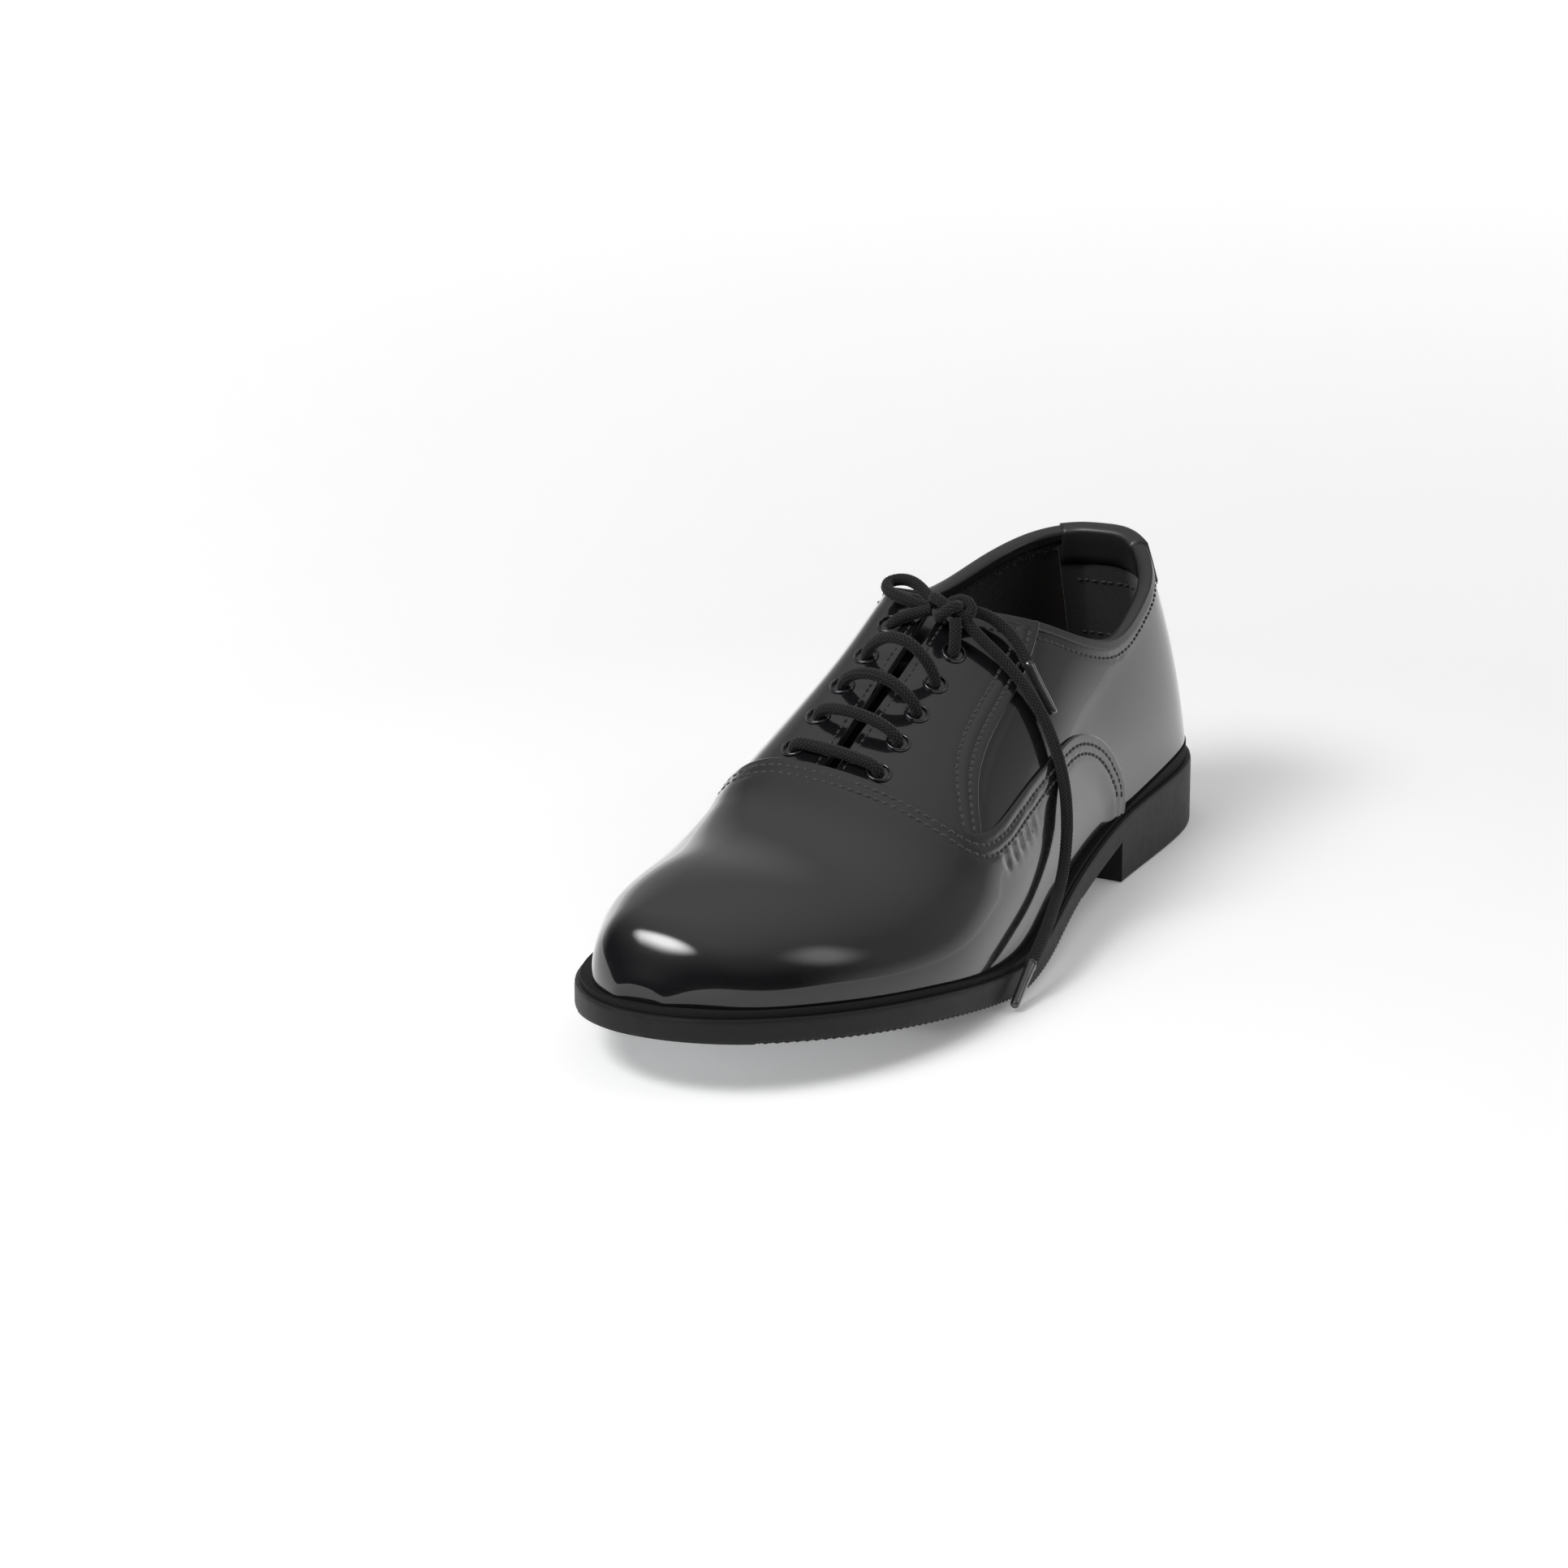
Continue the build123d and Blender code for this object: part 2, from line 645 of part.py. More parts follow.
tap_outline = outline_prism(TAP_INSET)
toe_level = common(above(TAP_FACE), below(TAP_FACE, TAP_THICK))
toe_level = common(toe_level, slab(TOE_TAP_START, PAST_TOE))
toe_plate = without(common(tap_outline, toe_level), arc_cutter(TOE_ARC_CENTRE, TOE_ARC_RADIUS))
heel_level = slab(BEHIND_HEEL, HEEL_TAP_END, z_low=0, z_high=TAP_THICK)
heel_plate = without(common(tap_outline, heel_level), arc_cutter(HEEL_ARC_CENTRE, HEEL_ARC_RADIUS))


def toe_face_height(s):
    """Height of the toe tap's face at s."""
    return stepped_height(TAP_FACE, s)


def screw(x, s, z, slope):
    """A countersunk screw going up into the sole, its head in the tap's face."""
    inward = Vector(0, math.sin(slope), math.cos(slope))
    head = Plane(origin=Vector(x, HALF - s, z) + inward * SCREW_SINK, x_dir=(1, 0, 0), z_dir=inward)
    with BuildPart() as body:
        with BuildSketch(head):
            Circle(SCREW_HEAD)
        with BuildSketch(head.offset(TAP_THICK)):
            Circle(SCREW_SHANK)
        loft()
        with BuildSketch(head):
            Circle(SCREW_SHANK)
        extrude(amount=SCREW_LENGTH)
    return body.part


toe_screws = [screw(x, s, toe_face_height(s), TOE_SLOPE) for x, s in TOE_SCREWS]
heel_screws = [screw(x, s, 0.0, 0.0) for x, s in HEEL_SCREWS]

with BuildPart() as tap_seats:
    add(toe_plate)
    add(heel_plate)
    for fastener in toe_screws + heel_screws:
        add(fastener)

with BuildPart() as outsole:
    add(outline_prism())
    add(below(SOLE_TOP), mode=Mode.INTERSECT)
    add(sole_bottom(), mode=Mode.INTERSECT)
    add(tap_seats.part, mode=Mode.SUBTRACT)
export("outsole", outsole.part)

for name, plate, fasteners in (("toe", toe_plate, toe_screws), ("heel", heel_plate, heel_screws)):
    with BuildPart() as tap_plate:
        add(plate)
        for fastener in fasteners:
            add(fastener, mode=Mode.SUBTRACT)
    export(name + "_tap", tap_plate.part)
    with BuildPart() as tap_screws:
        for fastener in fasteners:
            add(fastener)
    export(name + "_tap_screws", tap_screws.part)

with BuildPart() as welt:
    add(outline_prism(SOLE_EDGE_INSET))
    add(above(SOLE_TOP), mode=Mode.INTERSECT)
    add(below(FEATHER), mode=Mode.INTERSECT)
    add(outline_prism(MARGIN), mode=Mode.SUBTRACT)
export("welt", welt.part)

shank_bar = slab(SHANK_START, SHANK_END, SHANK_X - SHANK_HALF_WIDTH, SHANK_X + SHANK_HALF_WIDTH)
with BuildPart() as shank:
    add(shank_bar)
    add(above(FEATHER, SHANK_RISE), mode=Mode.INTERSECT)
    add(below(FEATHER, SHANK_RISE + SHANK_THICK), mode=Mode.INTERSECT)
export("shank", shank.part)

with BuildPart() as cork_filler:
    add(outline_prism(MARGIN))
    add(above(SOLE_TOP), mode=Mode.INTERSECT)
    add(below(FEATHER, UPPER), mode=Mode.INTERSECT)
    add(shank.part, mode=Mode.SUBTRACT)
export("cork_filler", cork_filler.part)

with BuildPart() as insole_board:
    add(foot_solid)
    add(below(FEATHER, UPPER + INSOLE), mode=Mode.INTERSECT)
export("insole_board", insole_board.part)

with BuildPart() as sock_liner:
    add(foot_solid)
    add(above(FEATHER, UPPER + INSOLE), mode=Mode.INTERSECT)
    add(below(FEATHER, UPPER + INSOLE + SOCK), mode=Mode.INTERSECT)
export("sock_liner", sock_liner.part)


# ---------------------------------------------------------------- tongue

with BuildPart() as tongue_plan:
    with BuildSketch(Plane.XY):
        with BuildLine():
            Polyline((SLOT_CENTRE - TONGUE_ROOT_HALF, HALF - TONGUE_ROOT_S),
                     (SLOT_CENTRE + TONGUE_ROOT_HALF, HALF - TONGUE_ROOT_S),
                     (SLOT_CENTRE + TONGUE_HALF_WIDTH, HALF - TONGUE_TIP_S),
                     (SLOT_CENTRE - TONGUE_HALF_WIDTH, HALF - TONGUE_TIP_S), close=True)
        tongue_outline = make_face()
        fillet(tongue_outline.vertices().group_by(Axis.Y)[-1], TONGUE_TIP_RADIUS)
    extrude(amount=HIGH)

tongue_zone = common(tongue_plan.part, above(TONGUE_FLOOR))
tongue_top = last_body(-TONGUE_DEPTH, TONGUE_FIRST, TONGUE_FINAL)
tongue_middle = last_body(-TONGUE_DEPTH - TONGUE_LEATHER, TONGUE_FIRST, TONGUE_FINAL)
tongue_under = last_body(-TONGUE_DEPTH - TONGUE_LEATHER - TONGUE_LINING, TONGUE_FIRST, TONGUE_FINAL)
root_top = last_body(-UPPER - TONGUE_GAP, TONGUE_FIRST, TONGUE_FINAL)
root_zone = common(slab(TONGUE_ROOT_S - TONGUE_ROOT_LENGTH, TONGUE_ROOT_S), tongue_zone)

with BuildPart() as tongue:
    add(tongue_top)
    add(tongue_zone, mode=Mode.INTERSECT)
    add(common(root_top, root_zone))
    add(tongue_middle, mode=Mode.SUBTRACT)
export("tongue", tongue.part)

with BuildPart() as tongue_lining:
    add(tongue_middle)
    add(tongue_zone, mode=Mode.INTERSECT)
    add(tongue_under, mode=Mode.SUBTRACT)
export("tongue_lining", tongue_lining.part)

# ---------------------------------------------------------------- lace through the eyelets


def bend_radii(points):
    """The arc radius at each inner point: as large as its two runs allow."""
    radii = []
    vectors = [Vector(*point) for point in points]
    for before, here, after in zip(vectors, vectors[1:], vectors[2:]):
        turn = math.radians((here - before).get_angle(after - here))
        run = min((here - before).length, (after - here).length)
        radii.append(BEND_SHARE * run / math.tan(turn / 2))
    return radii


def cord(name, points, radius=LACE_RADIUS):
    """A round cord along straight runs joined by arcs."""
    radii = bend_radii(points)
    with BuildPart() as tube:
        with BuildLine() as route:
            path = FilletPolyline(*points, radius=radii)
        with BuildSketch(Plane(origin=path @ 0, z_dir=path % 0)):
            Circle(radius)
        sweep()
    expected = math.pi * radius ** 2 * path.length
    print(name, "length", round(path.length, 1), "volume share", round(tube.part.volume / expected, 3),
          "radii", [round(value, 1) for value in radii])
    return tube.part


def over(seat):
    """Lace centre just outside an eyelet."""
    return seat[0] + seat[1] * LACE_OVER


def under(seat):
    """Lace centre just inside an eyelet."""
    return seat[0] - seat[1] * LACE_UNDER


def hump(start, end, lift):
    """Two points of a bar's hump between two eyelets."""
    middle = (start[1] + end[1]) * 0.5
    return [start[0] + (end[0] - start[0]) * share + middle * lift for share in (0.3, 0.7)]


def side_step(seat):
    """A point of the long inner run, beside the medial eyelets."""
    normal = seat[1]
    across = Vector(-normal.Z, 0, normal.X).normalized()
    return under(seat) + across * LONG_RUN_OFFSET - normal * RUN_CLEARANCE



lace_points = [KNOT + Vector(-5.5, -1.5, -1.0), over(medial_seats[4]), under(medial_seats[4])]
for number in (3, 2, 1):
    lace_points += [side_step(medial_seats[number])]
lace_points += [under(medial_seats[0]), over(medial_seats[0])]
for number, start, end in ((0, medial_seats, lateral_seats), (1, lateral_seats, medial_seats),
                           (2, medial_seats, lateral_seats), (3, lateral_seats, medial_seats)):
    if number:
        lace_points += [over(start[number])]
    lace_points += hump(start[number], end[number], BAR_LIFTS[number])
    lace_points += [over(end[number]), under(end[number])]
    following = end if number < 3 else lateral_seats
    lace_points += [under(following[number + 1])]
lace_points += [over(lateral_seats[4]), KNOT + Vector(3.0, -3.0, -2.0)]

with BuildPart() as lace:
    add(cord("lace", [tuple(point) for point in lace_points]))
export("lace", lace.part)

with BuildPart() as lace_knot:
    with BuildSketch(Plane(origin=KNOT, x_dir=(1, 0, 0), z_dir=(0, -1, 0))):
        Ellipse(KNOT_HALF_WIDTH, KNOT_HALF_HEIGHT)
        with Locations((0, -KNOT_HALF_HEIGHT)):
            Rectangle(3 * KNOT_HALF_WIDTH, 2 * KNOT_HALF_HEIGHT, mode=Mode.SUBTRACT)
    revolve(axis=Axis(KNOT, (1, 0, 0)))
export("lace_knot", lace_knot.part)

# ---------------------------------------------------------------- lace ends, loop and aglets



def aglet(start, tip):
    """A plastic sheath from the lace's end to its tip."""
    axis = Vector(*tip) - Vector(*start)
    with BuildPart() as sheath:
        with BuildSketch(Plane(origin=start, z_dir=axis)):
            Circle(AGLET_RADIUS)
        extrude(amount=axis.length)
    return sheath.part


for name, points in (("lace_loop", LOOP), ("lace_end_long", LONG_END), ("lace_end_short", SHORT_END)):
    export(name, cord(name, points))

export("aglet_long", aglet(LONG_END[-1], LONG_AGLET_TIP))
export("aglet_short", aglet(SHORT_END[-1], SHORT_AGLET_TIP))
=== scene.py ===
import math
import bmesh
import bpy
import numpy as np
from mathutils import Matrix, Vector


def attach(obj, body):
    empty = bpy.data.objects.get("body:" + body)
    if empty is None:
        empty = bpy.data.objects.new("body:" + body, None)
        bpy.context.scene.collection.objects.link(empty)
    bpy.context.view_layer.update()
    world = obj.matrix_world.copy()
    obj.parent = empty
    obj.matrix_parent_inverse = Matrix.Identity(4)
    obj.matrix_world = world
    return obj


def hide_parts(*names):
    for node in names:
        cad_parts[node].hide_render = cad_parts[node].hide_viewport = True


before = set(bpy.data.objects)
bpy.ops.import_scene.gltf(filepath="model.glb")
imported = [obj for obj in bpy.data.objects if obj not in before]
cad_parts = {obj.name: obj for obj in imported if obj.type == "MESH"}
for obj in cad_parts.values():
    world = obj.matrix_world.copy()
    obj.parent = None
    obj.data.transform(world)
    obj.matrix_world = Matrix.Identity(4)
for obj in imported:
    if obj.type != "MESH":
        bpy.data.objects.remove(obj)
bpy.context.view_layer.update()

MM = 0.001
HALF = 150.0
SHOE = "shoe"
TONGUE = "tongue"
lin = np.linspace

# ======== camera

# the way back from the shoe to the camera, the point it looks at and how far away it is, in metres
BACK = Vector((0.4446, -0.8384, 0.3155)).normalized()
LOOK_AT = Vector((-0.0953, 0.1028, 0.0))
CAMERA_AWAY = 1.871
LENS = 138.2
SENSOR = 36.0
cam_data = bpy.data.cameras.new("camera")
cam_data.lens = LENS
cam_data.sensor_width = SENSOR
cam_data.clip_end = 50.0
cam = bpy.data.objects.new("camera", cam_data)
cam.location = LOOK_AT + BACK * CAMERA_AWAY
cam.rotation_euler = BACK.to_track_quat("Z", "Y").to_euler()
bpy.context.scene.collection.objects.link(cam)
bpy.context.scene.camera = cam

# ======== the last's surface (millimetres)

# s, lateral, medial, ridge x, ridge z, lateral and medial fullness, roundness
LAST = np.array([
    (1.0, 8.0, -8.0, -0.5, 120.0, 0.0, 0.5, 0.46),
    (4.0, 15.5, -15.5, -0.5, 120.0, 0.0, 1.5, 0.46),
    (9.5, 22.0, -22.0, -1.5, 120.0, -0.5, 2.5, 0.46),
    (17.0, 27.0, -26.5, -3.0, 120.0, -0.5, 3.0, 0.46),
    (27.0, 30.5, -29.5, -4.0, 119.5, 0.0, 4.0, 0.46),
    (44.0, 32.5, -31.5, -7.0, 118.0, 1.5, 5.5, 0.46),
    (68.0, 33.5, -30.5, -11.0, 113.0, 3.5, 8.0, 0.47),
    (92.0, 34.5, -27.5, -15.5, 105.5, 5.5, 11.5, 0.48),
    (116.0, 37.0, -26.0, -17.5, 96.0, 6.5, 13.5, 0.50),
    (140.0, 40.5, -28.5, -17.5, 84.5, 6.5, 12.5, 0.52),
    (164.0, 45.5, -35.0, -17.0, 74.0, 5.0, 10.5, 0.53),
    (188.0, 49.0, -41.0, -16.0, 63.5, 3.5, 8.0, 0.55),
    (210.0, 50.0, -43.5, -15.5, 53.5, 2.5, 5.5, 0.57),
    (230.0, 47.5, -43.0, -14.5, 50.0, 1.5, 3.0, 0.58),
    (248.0, 42.5, -41.0, -13.5, 50.0, 1.0, 1.5, 0.58),
    (264.0, 35.5, -37.5, -12.5, 49.0, 1.0, 1.0, 0.60),
    (278.0, 26.5, -32.0, -11.5, 47.0, 0.5, 0.5, 0.60),
    (288.0, 16.0, -26.0, -10.5, 43.0, 0.5, 0.5, 0.60),
    (294.0, 4.0, -18.5, -9.0, 34.0, 0.0, 0.0, 0.60),
    (295.9, -1.5, -13.8, -8.5, 29.5, 0.0, 0.0, 0.60),
])
FEATHER = [(-20, 25.2), (0, 25.2), (30, 25.0), (60, 22.6), (82, 20.2), (100, 18.0), (125, 14.2),
           (150, 10.2), (175, 9.2), (200, 12.2), (225, 16.4), (250, 19.8), (275, 22.8), (300, 25.4),
           (320, 27.0)]
TOPLINE_LATERAL = [(-30, 100), (0, 93), (20, 87.5), (34, 79.6), (48, 74.8), (60, 71.4), (72, 70.6),
                   (82, 73.0), (92, 77.4), (101, 82.2), (111, 86.4), (122, 90.5), (140, 99)]
TOPLINE_MEDIAL = [(-30, 100), (0, 93), (20, 87.5), (37, 84), (58, 80.6), (76, 80), (98, 83.6), (112, 89),
                  (122, 93.5), (140, 102)]
VAMP_SEAM = [(192.5, 62), (190.5, 54), (186, 46), (179, 44.2), (165, 45.4), (145, 49), (125, 52),
             (110, 52.8), (100, 50), (91, 44.5), (84, 37), (79.5, 30), (78, 22)]
QUARTER_SEAM = [(80, 104), (92, 91), (107, 80.5), (130.5, 70), (153, 61.5), (170, 53), (186, 40)]
LEAN = 0.265
SLOT_CENTRE = -4.5
SLOT_HALF = 2.4
WALL = 3.2
HEAD = len(LAST) - 1


def spline_slopes(knots, values, clamp=False):
    """Slopes of a cubic spline through values at knots; natural ends, or level ones."""
    n = len(knots)
    step = np.diff(knots)
    rise = np.diff(values) / step
    a = np.zeros((n, n))
    b = np.zeros(n)
    for i in range(1, n - 1):
        a[i, i - 1] = step[i]
        a[i, i] = 2 * (step[i - 1] + step[i])
        a[i, i + 1] = step[i - 1]
        b[i] = 3 * (step[i] * rise[i - 1] + step[i - 1] * rise[i])
    a[0, 0] = a[-1, -1] = 1.0
    if not clamp:
        a[0, 0], a[0, 1], b[0] = 2, 1, 3 * rise[0]
        a[-1, -1], a[-1, -2], b[-1] = 2, 1, 3 * rise[-1]
    return np.linalg.solve(a, b)


def spline(knots, values, at, clamp=False):
    """A cubic spline through values at knots, read at other places."""
    knots = np.asarray(knots, float)
    values = np.asarray(values, float)
    slopes = spline_slopes(knots, values, clamp)
    i = np.clip(np.searchsorted(knots, at, side="right") - 1, 0, len(knots) - 2)
    h = knots[i + 1] - knots[i]
    t = (at - knots[i]) / h
    return ((1 + 2 * t) * (1 - t) ** 2 * values[i] + t * (1 - t) ** 2 * h * slopes[i]
            + t * t * (3 - 2 * t) * values[i + 1] + t * t * (t - 1) * h * slopes[i + 1])


def curve_points(points, count=160):
    """A side view curve as a dense polyline."""
    points = np.array(points, float)
    chord = np.concatenate([[0], np.cumsum(np.hypot(*np.diff(points, axis=0).T))])
    at = lin(0, chord[-1], count)
    return np.stack([spline(chord, points[:, 0], at), spline(chord, points[:, 1], at)], 1)


feather_s, feather_z = curve_points(FEATHER, 400).T


def sunk_last(depth):
    """The stations of a surface depth inside the last."""
    table = LAST.copy()
    for k in range(len(LAST)):
        before, after = LAST[max(k - 1, 0)], LAST[min(k + 1, HEAD)]
        run = after[0] - before[0]
        ways = []
        for fall in (before[1] - after[1], after[2] - before[2], before[4] - after[4]):
            size = math.hypot(fall, run)
            ways.append((fall / size, run / size))
        along = (ways[0][0] + ways[1][0]) / 2
        table[k, 0] -= depth * along
        table[k, 1] -= depth * ways[0][1]
        table[k, 2] += depth * ways[1][1]
        table[k, 4] -= depth * ways[2][1]
    return table


def surface(tau, u, table=LAST):
    """Points of the last: tau runs from the heel (-1) to the toe (20), u from the lateral feather (0)
    over the ridge (1) to the medial feather (2)."""
    tau = np.asarray(tau, float)
    u = np.asarray(u, float)
    station = np.clip(tau, 0, HEAD)
    keep = np.clip(np.where(tau < 0, 1 + tau, np.where(tau > HEAD, HEAD + 1 - tau, 1.0)), 0, 1)
    index = np.arange(len(LAST))
    cols = [spline(index, table[:, k], station, clamp=(k == 0)) for k in range(8)]
    s, lateral, medial, ridge_x, ridge_z, full_l, full_m, rnd = cols
    base = np.interp(s, feather_s, feather_z)
    rise = (ridge_z - base) * rnd
    inward = rnd + 0.04
    on_lateral = u <= 1
    foot = np.where(on_lateral, lateral, medial)
    out = np.where(on_lateral, lateral + full_l, medial - full_m)
    t = np.where(on_lateral, u, 2 - u)
    b0, b1, b2, b3 = (1 - t) ** 3, 3 * (1 - t) ** 2 * t, 3 * (1 - t) * t * t, t ** 3
    x = b0 * foot + b1 * out + b2 * (ridge_x + inward * (out - ridge_x)) + b3 * ridge_x
    z = b0 * base + b1 * (base + rise) + b2 * ridge_z + b3 * ridge_z
    middle = (lateral + medial) / 2
    x = middle + keep * (x - middle)
    lean = LEAN * np.clip(1 - s / 120.0, 0, 1) ** 2
    return np.stack([x, HALF - s - lean * (z - 24.0), z], -1)


def unit(vectors):
    """Vectors of length 1."""
    return vectors / np.maximum(np.linalg.norm(vectors, axis=-1, keepdims=True), 1e-12)


def surface_normal(tau, u, table=LAST):
    """Outward unit normals of the last."""
    e = 1e-3
    lo_t, hi_t = np.clip(tau - e, -1, HEAD + 1), np.clip(tau + e, -1, HEAD + 1)
    lo_u, hi_u = np.clip(u - e, 0, 2), np.clip(u + e, 0, 2)
    return unit(np.cross(surface(tau, hi_u, table) - surface(tau, lo_u, table),
                         surface(hi_t, u, table) - surface(lo_t, u, table)))


def smooth_step(value, low, high):
    t = np.clip((value - low) / (high - low), 0, 1)
    return t * t * (3 - 2 * t)


def bump(value, centre, width):
    return np.exp(-((value - centre) / width) ** 2)


def nearest(points, line):
    """Distance from side view points to a polyline, and how far along it the nearest point is."""
    best = np.full(len(points), 1e9)
    along = np.zeros(len(points))
    start = 0.0
    for a, b in zip(line, line[1:]):
        d = b - a
        size = max(float(np.hypot(*d)), 1e-9)
        t = np.clip(((points - a) @ d) / size ** 2, 0, 1)
        far = np.linalg.norm(points - a - t[:, None] * d, axis=1)
        better = far < best
        best = np.where(better, far, best)
        along = np.where(better, start + t * size, along)
        start += size
    return best, along


def inside(points, polygon):
    """Whether side view points lie in a polygon."""
    hit = np.zeros(len(points), bool)
    for (x0, y0), (x1, y1) in zip(polygon, np.roll(polygon, -1, axis=0)):
        cross = (y0 > points[:, 1]) != (y1 > points[:, 1])
        with np.errstate(divide="ignore", invalid="ignore"):
            at = (x1 - x0) * (points[:, 1] - y0) / (y1 - y0 + 1e-12) + x0
        hit ^= cross & (points[:, 0] < at)
    return hit


seam_line = curve_points(VAMP_SEAM)
vamp_edge = np.vstack([[(193.0, 130.0)], seam_line, [(78.0, -150.0)]])
vamp_polygon = np.vstack([vamp_edge, [(340.0, -150.0), (340.0, 130.0)]])
quarter_line = curve_points(QUARTER_SEAM)
top_lateral = curve_points(TOPLINE_LATERAL)
top_medial = curve_points(TOPLINE_MEDIAL)


def split_x(y):
    """The x that parts the lateral side from the medial one."""
    return np.interp(y, [40.0, 110.0], [SLOT_CENTRE, 0.0])


def fields(xyz):
    """Signed distances, positive inside: vamp, quarter seam (positive above), topline (positive below)."""
    points = np.stack([HALF - xyz[:, 1], xyz[:, 2]], 1)
    f = {}
    far, along = nearest(points, vamp_edge)
    f["vamp"] = np.where(inside(points, vamp_polygon), far, -far)
    f["vamp_along"] = along
    far = nearest(points, quarter_line)[0]
    front = points[:, 1] > np.interp(points[:, 0], *quarter_line.T, left=104, right=40)
    f["quarter"] = np.where(front & (points[:, 0] > 80), far, -far)
    lateral = xyz[:, 0] > split_x(xyz[:, 1])
    below = []
    for line in (top_lateral, top_medial):
        far = nearest(points, line)[0]
        below.append(np.where(points[:, 1] < np.interp(points[:, 0], *line.T), far, -far))
    f["top"] = np.where(lateral, *below)
    beside_slot = (points[:, 0] < 193.0) & (points[:, 0] > 70)
    f["slot"] = np.where(beside_slot, np.abs(xyz[:, 0] - SLOT_CENTRE) - SLOT_HALF, 5.0)
    f["side"] = xyz[:, 0] - split_x(xyz[:, 1])
    f["s"] = points[:, 0]
    f["z"] = points[:, 1]
    return f


# stations spread so that rows are about 1.3 mm apart
rows = [lin(-1, 0, 7)[:-1]]
for k in range(HEAD):
    gap = LAST[k + 1, 0] - LAST[k, 0]
    wide = abs(LAST[k + 1, 1] - LAST[k, 1])
    rows.append(lin(k, k + 1, max(3, int(math.hypot(gap, wide) / 1.3)) + 1)[:-1])
rows.append(lin(HEAD, HEAD + 1, 6))
TAU = np.concatenate(rows)
U = np.concatenate([lin(0, 1, 91), lin(1, 2, 91)[1:]])
grid_tau, grid_u = np.meshgrid(TAU, U, indexing="ij")
NT, NU = grid_tau.shape
flat_tau = grid_tau.ravel()
flat_u = grid_u.ravel()
grid_points = surface(flat_tau, flat_u)
F = fields(grid_points)
ids = np.arange(NT * NU).reshape(NT, NU)
quads = np.stack([ids[:-1, :-1], ids[:-1, 1:], ids[1:, 1:], ids[1:, :-1]], -1).reshape(-1, 4)


def clip(keep_fields):
    """The grid's faces clipped to where every field is at least 0: (tau, u) of points, and faces."""
    tu = [tuple(p) for p in np.stack([flat_tau, flat_u], 1)]
    values = [list(f) for f in keep_fields]
    stack = np.stack(keep_fields)
    all_in = (stack >= 0).all(0)
    dead = (stack < 0)
    faces = []
    whole = all_in[quads].all(1)
    none = dead[:, quads].all(2).any(0)
    faces.extend(quads[whole].tolist())
    made = {}
    for face in quads[~whole & ~none].tolist():
        poly = face
        for k, f in enumerate(values):
            out = []
            for a, b in zip(poly, poly[1:] + poly[:1]):
                fa, fb = f[a], f[b]
                if fa >= 0:
                    out.append(a)
                if (fa >= 0) != (fb >= 0):
                    key = (min(a, b), max(a, b), k)
                    if key not in made:
                        t = fa / (fa - fb)
                        made[key] = len(tu)
                        tu.append(tuple(tu[a][i] + t * (tu[b][i] - tu[a][i]) for i in (0, 1)))
                        for other in values:
                            other.append(other[a] + t * (other[b] - other[a]))
                        f[-1] = 0.0
                    out.append(made[key])
            poly = out
            if len(poly) < 3:
                break
        if len(poly) >= 3:
            faces.append(poly)
    return np.array(tu), faces


def new_object(name, points, faces, mat, body=SHOE, normals=None):
    """A mesh object from points in millimetres, smooth shaded, riding on a body."""
    mesh = bpy.data.meshes.new(name)
    mesh.from_pydata((np.asarray(points) * MM).tolist(), [], [list(map(int, f)) for f in faces])
    mesh.polygons.foreach_set("use_smooth", [True] * len(mesh.polygons))
    mesh.update()
    if normals is not None:
        mesh.normals_split_custom_set_from_vertices(np.asarray(normals).tolist())
    obj = bpy.data.objects.new(name, mesh)
    bpy.context.scene.collection.objects.link(obj)
    mesh.materials.append(mat)
    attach(obj, body)
    return obj


def closed_object(name, points, faces, mat):
    """A closed piece of the shoe, its faces turned outwards."""
    obj = new_object(name, points, faces, mat)
    work = bmesh.new()
    work.from_mesh(obj.data)
    bmesh.ops.recalc_face_normals(work, faces=work.faces)
    work.to_mesh(obj.data)
    work.free()
    return obj


def ring_faces(rows, around, closed=True):
    """Faces between rings of around points each; closed joins the last ring to the first."""
    faces = []
    for i in range(rows if closed else rows - 1):
        j = (i + 1) % rows
        for k in range(around):
            m = (k + 1) % around
            faces.append([i * around + k, i * around + m, j * around + m, j * around + k])
    return faces


def travelled(line):
    """Distance gone along a line, at each of its points."""
    return np.concatenate([[0], np.cumsum(np.linalg.norm(np.diff(line, axis=0), axis=1))])


def read_at(at, gone, line):
    """A line's points at the given distances along it."""
    return np.stack([np.interp(at, gone, column) for column in line.T], 1)


def merged(points, normals, faces):
    """Points that coincide made one, and faces without repeats."""
    key = np.round(points * 500).astype(np.int64)
    _, first, back = np.unique(key, axis=0, return_index=True, return_inverse=True)
    back = back.ravel()
    total = np.zeros((len(first), 3))
    np.add.at(total, back, normals)
    clean = []
    for face in faces:
        new = [int(back[v]) for v in face]
        new = [v for k, v in enumerate(new) if v != new[k - 1]]
        if len(set(new)) >= 3 and len(set(new)) == len(new):
            clean.append(new)
    return points[first], unit(total), clean


def boundary(faces):
    """Directed edges used by one face only."""
    seen = {}
    for face in faces:
        for a, b in zip(face, face[1:] + face[:1]):
            seen[(a, b)] = True
    return [(a, b) for (a, b) in seen if (b, a) not in seen]


EDGE_RINGS = 4


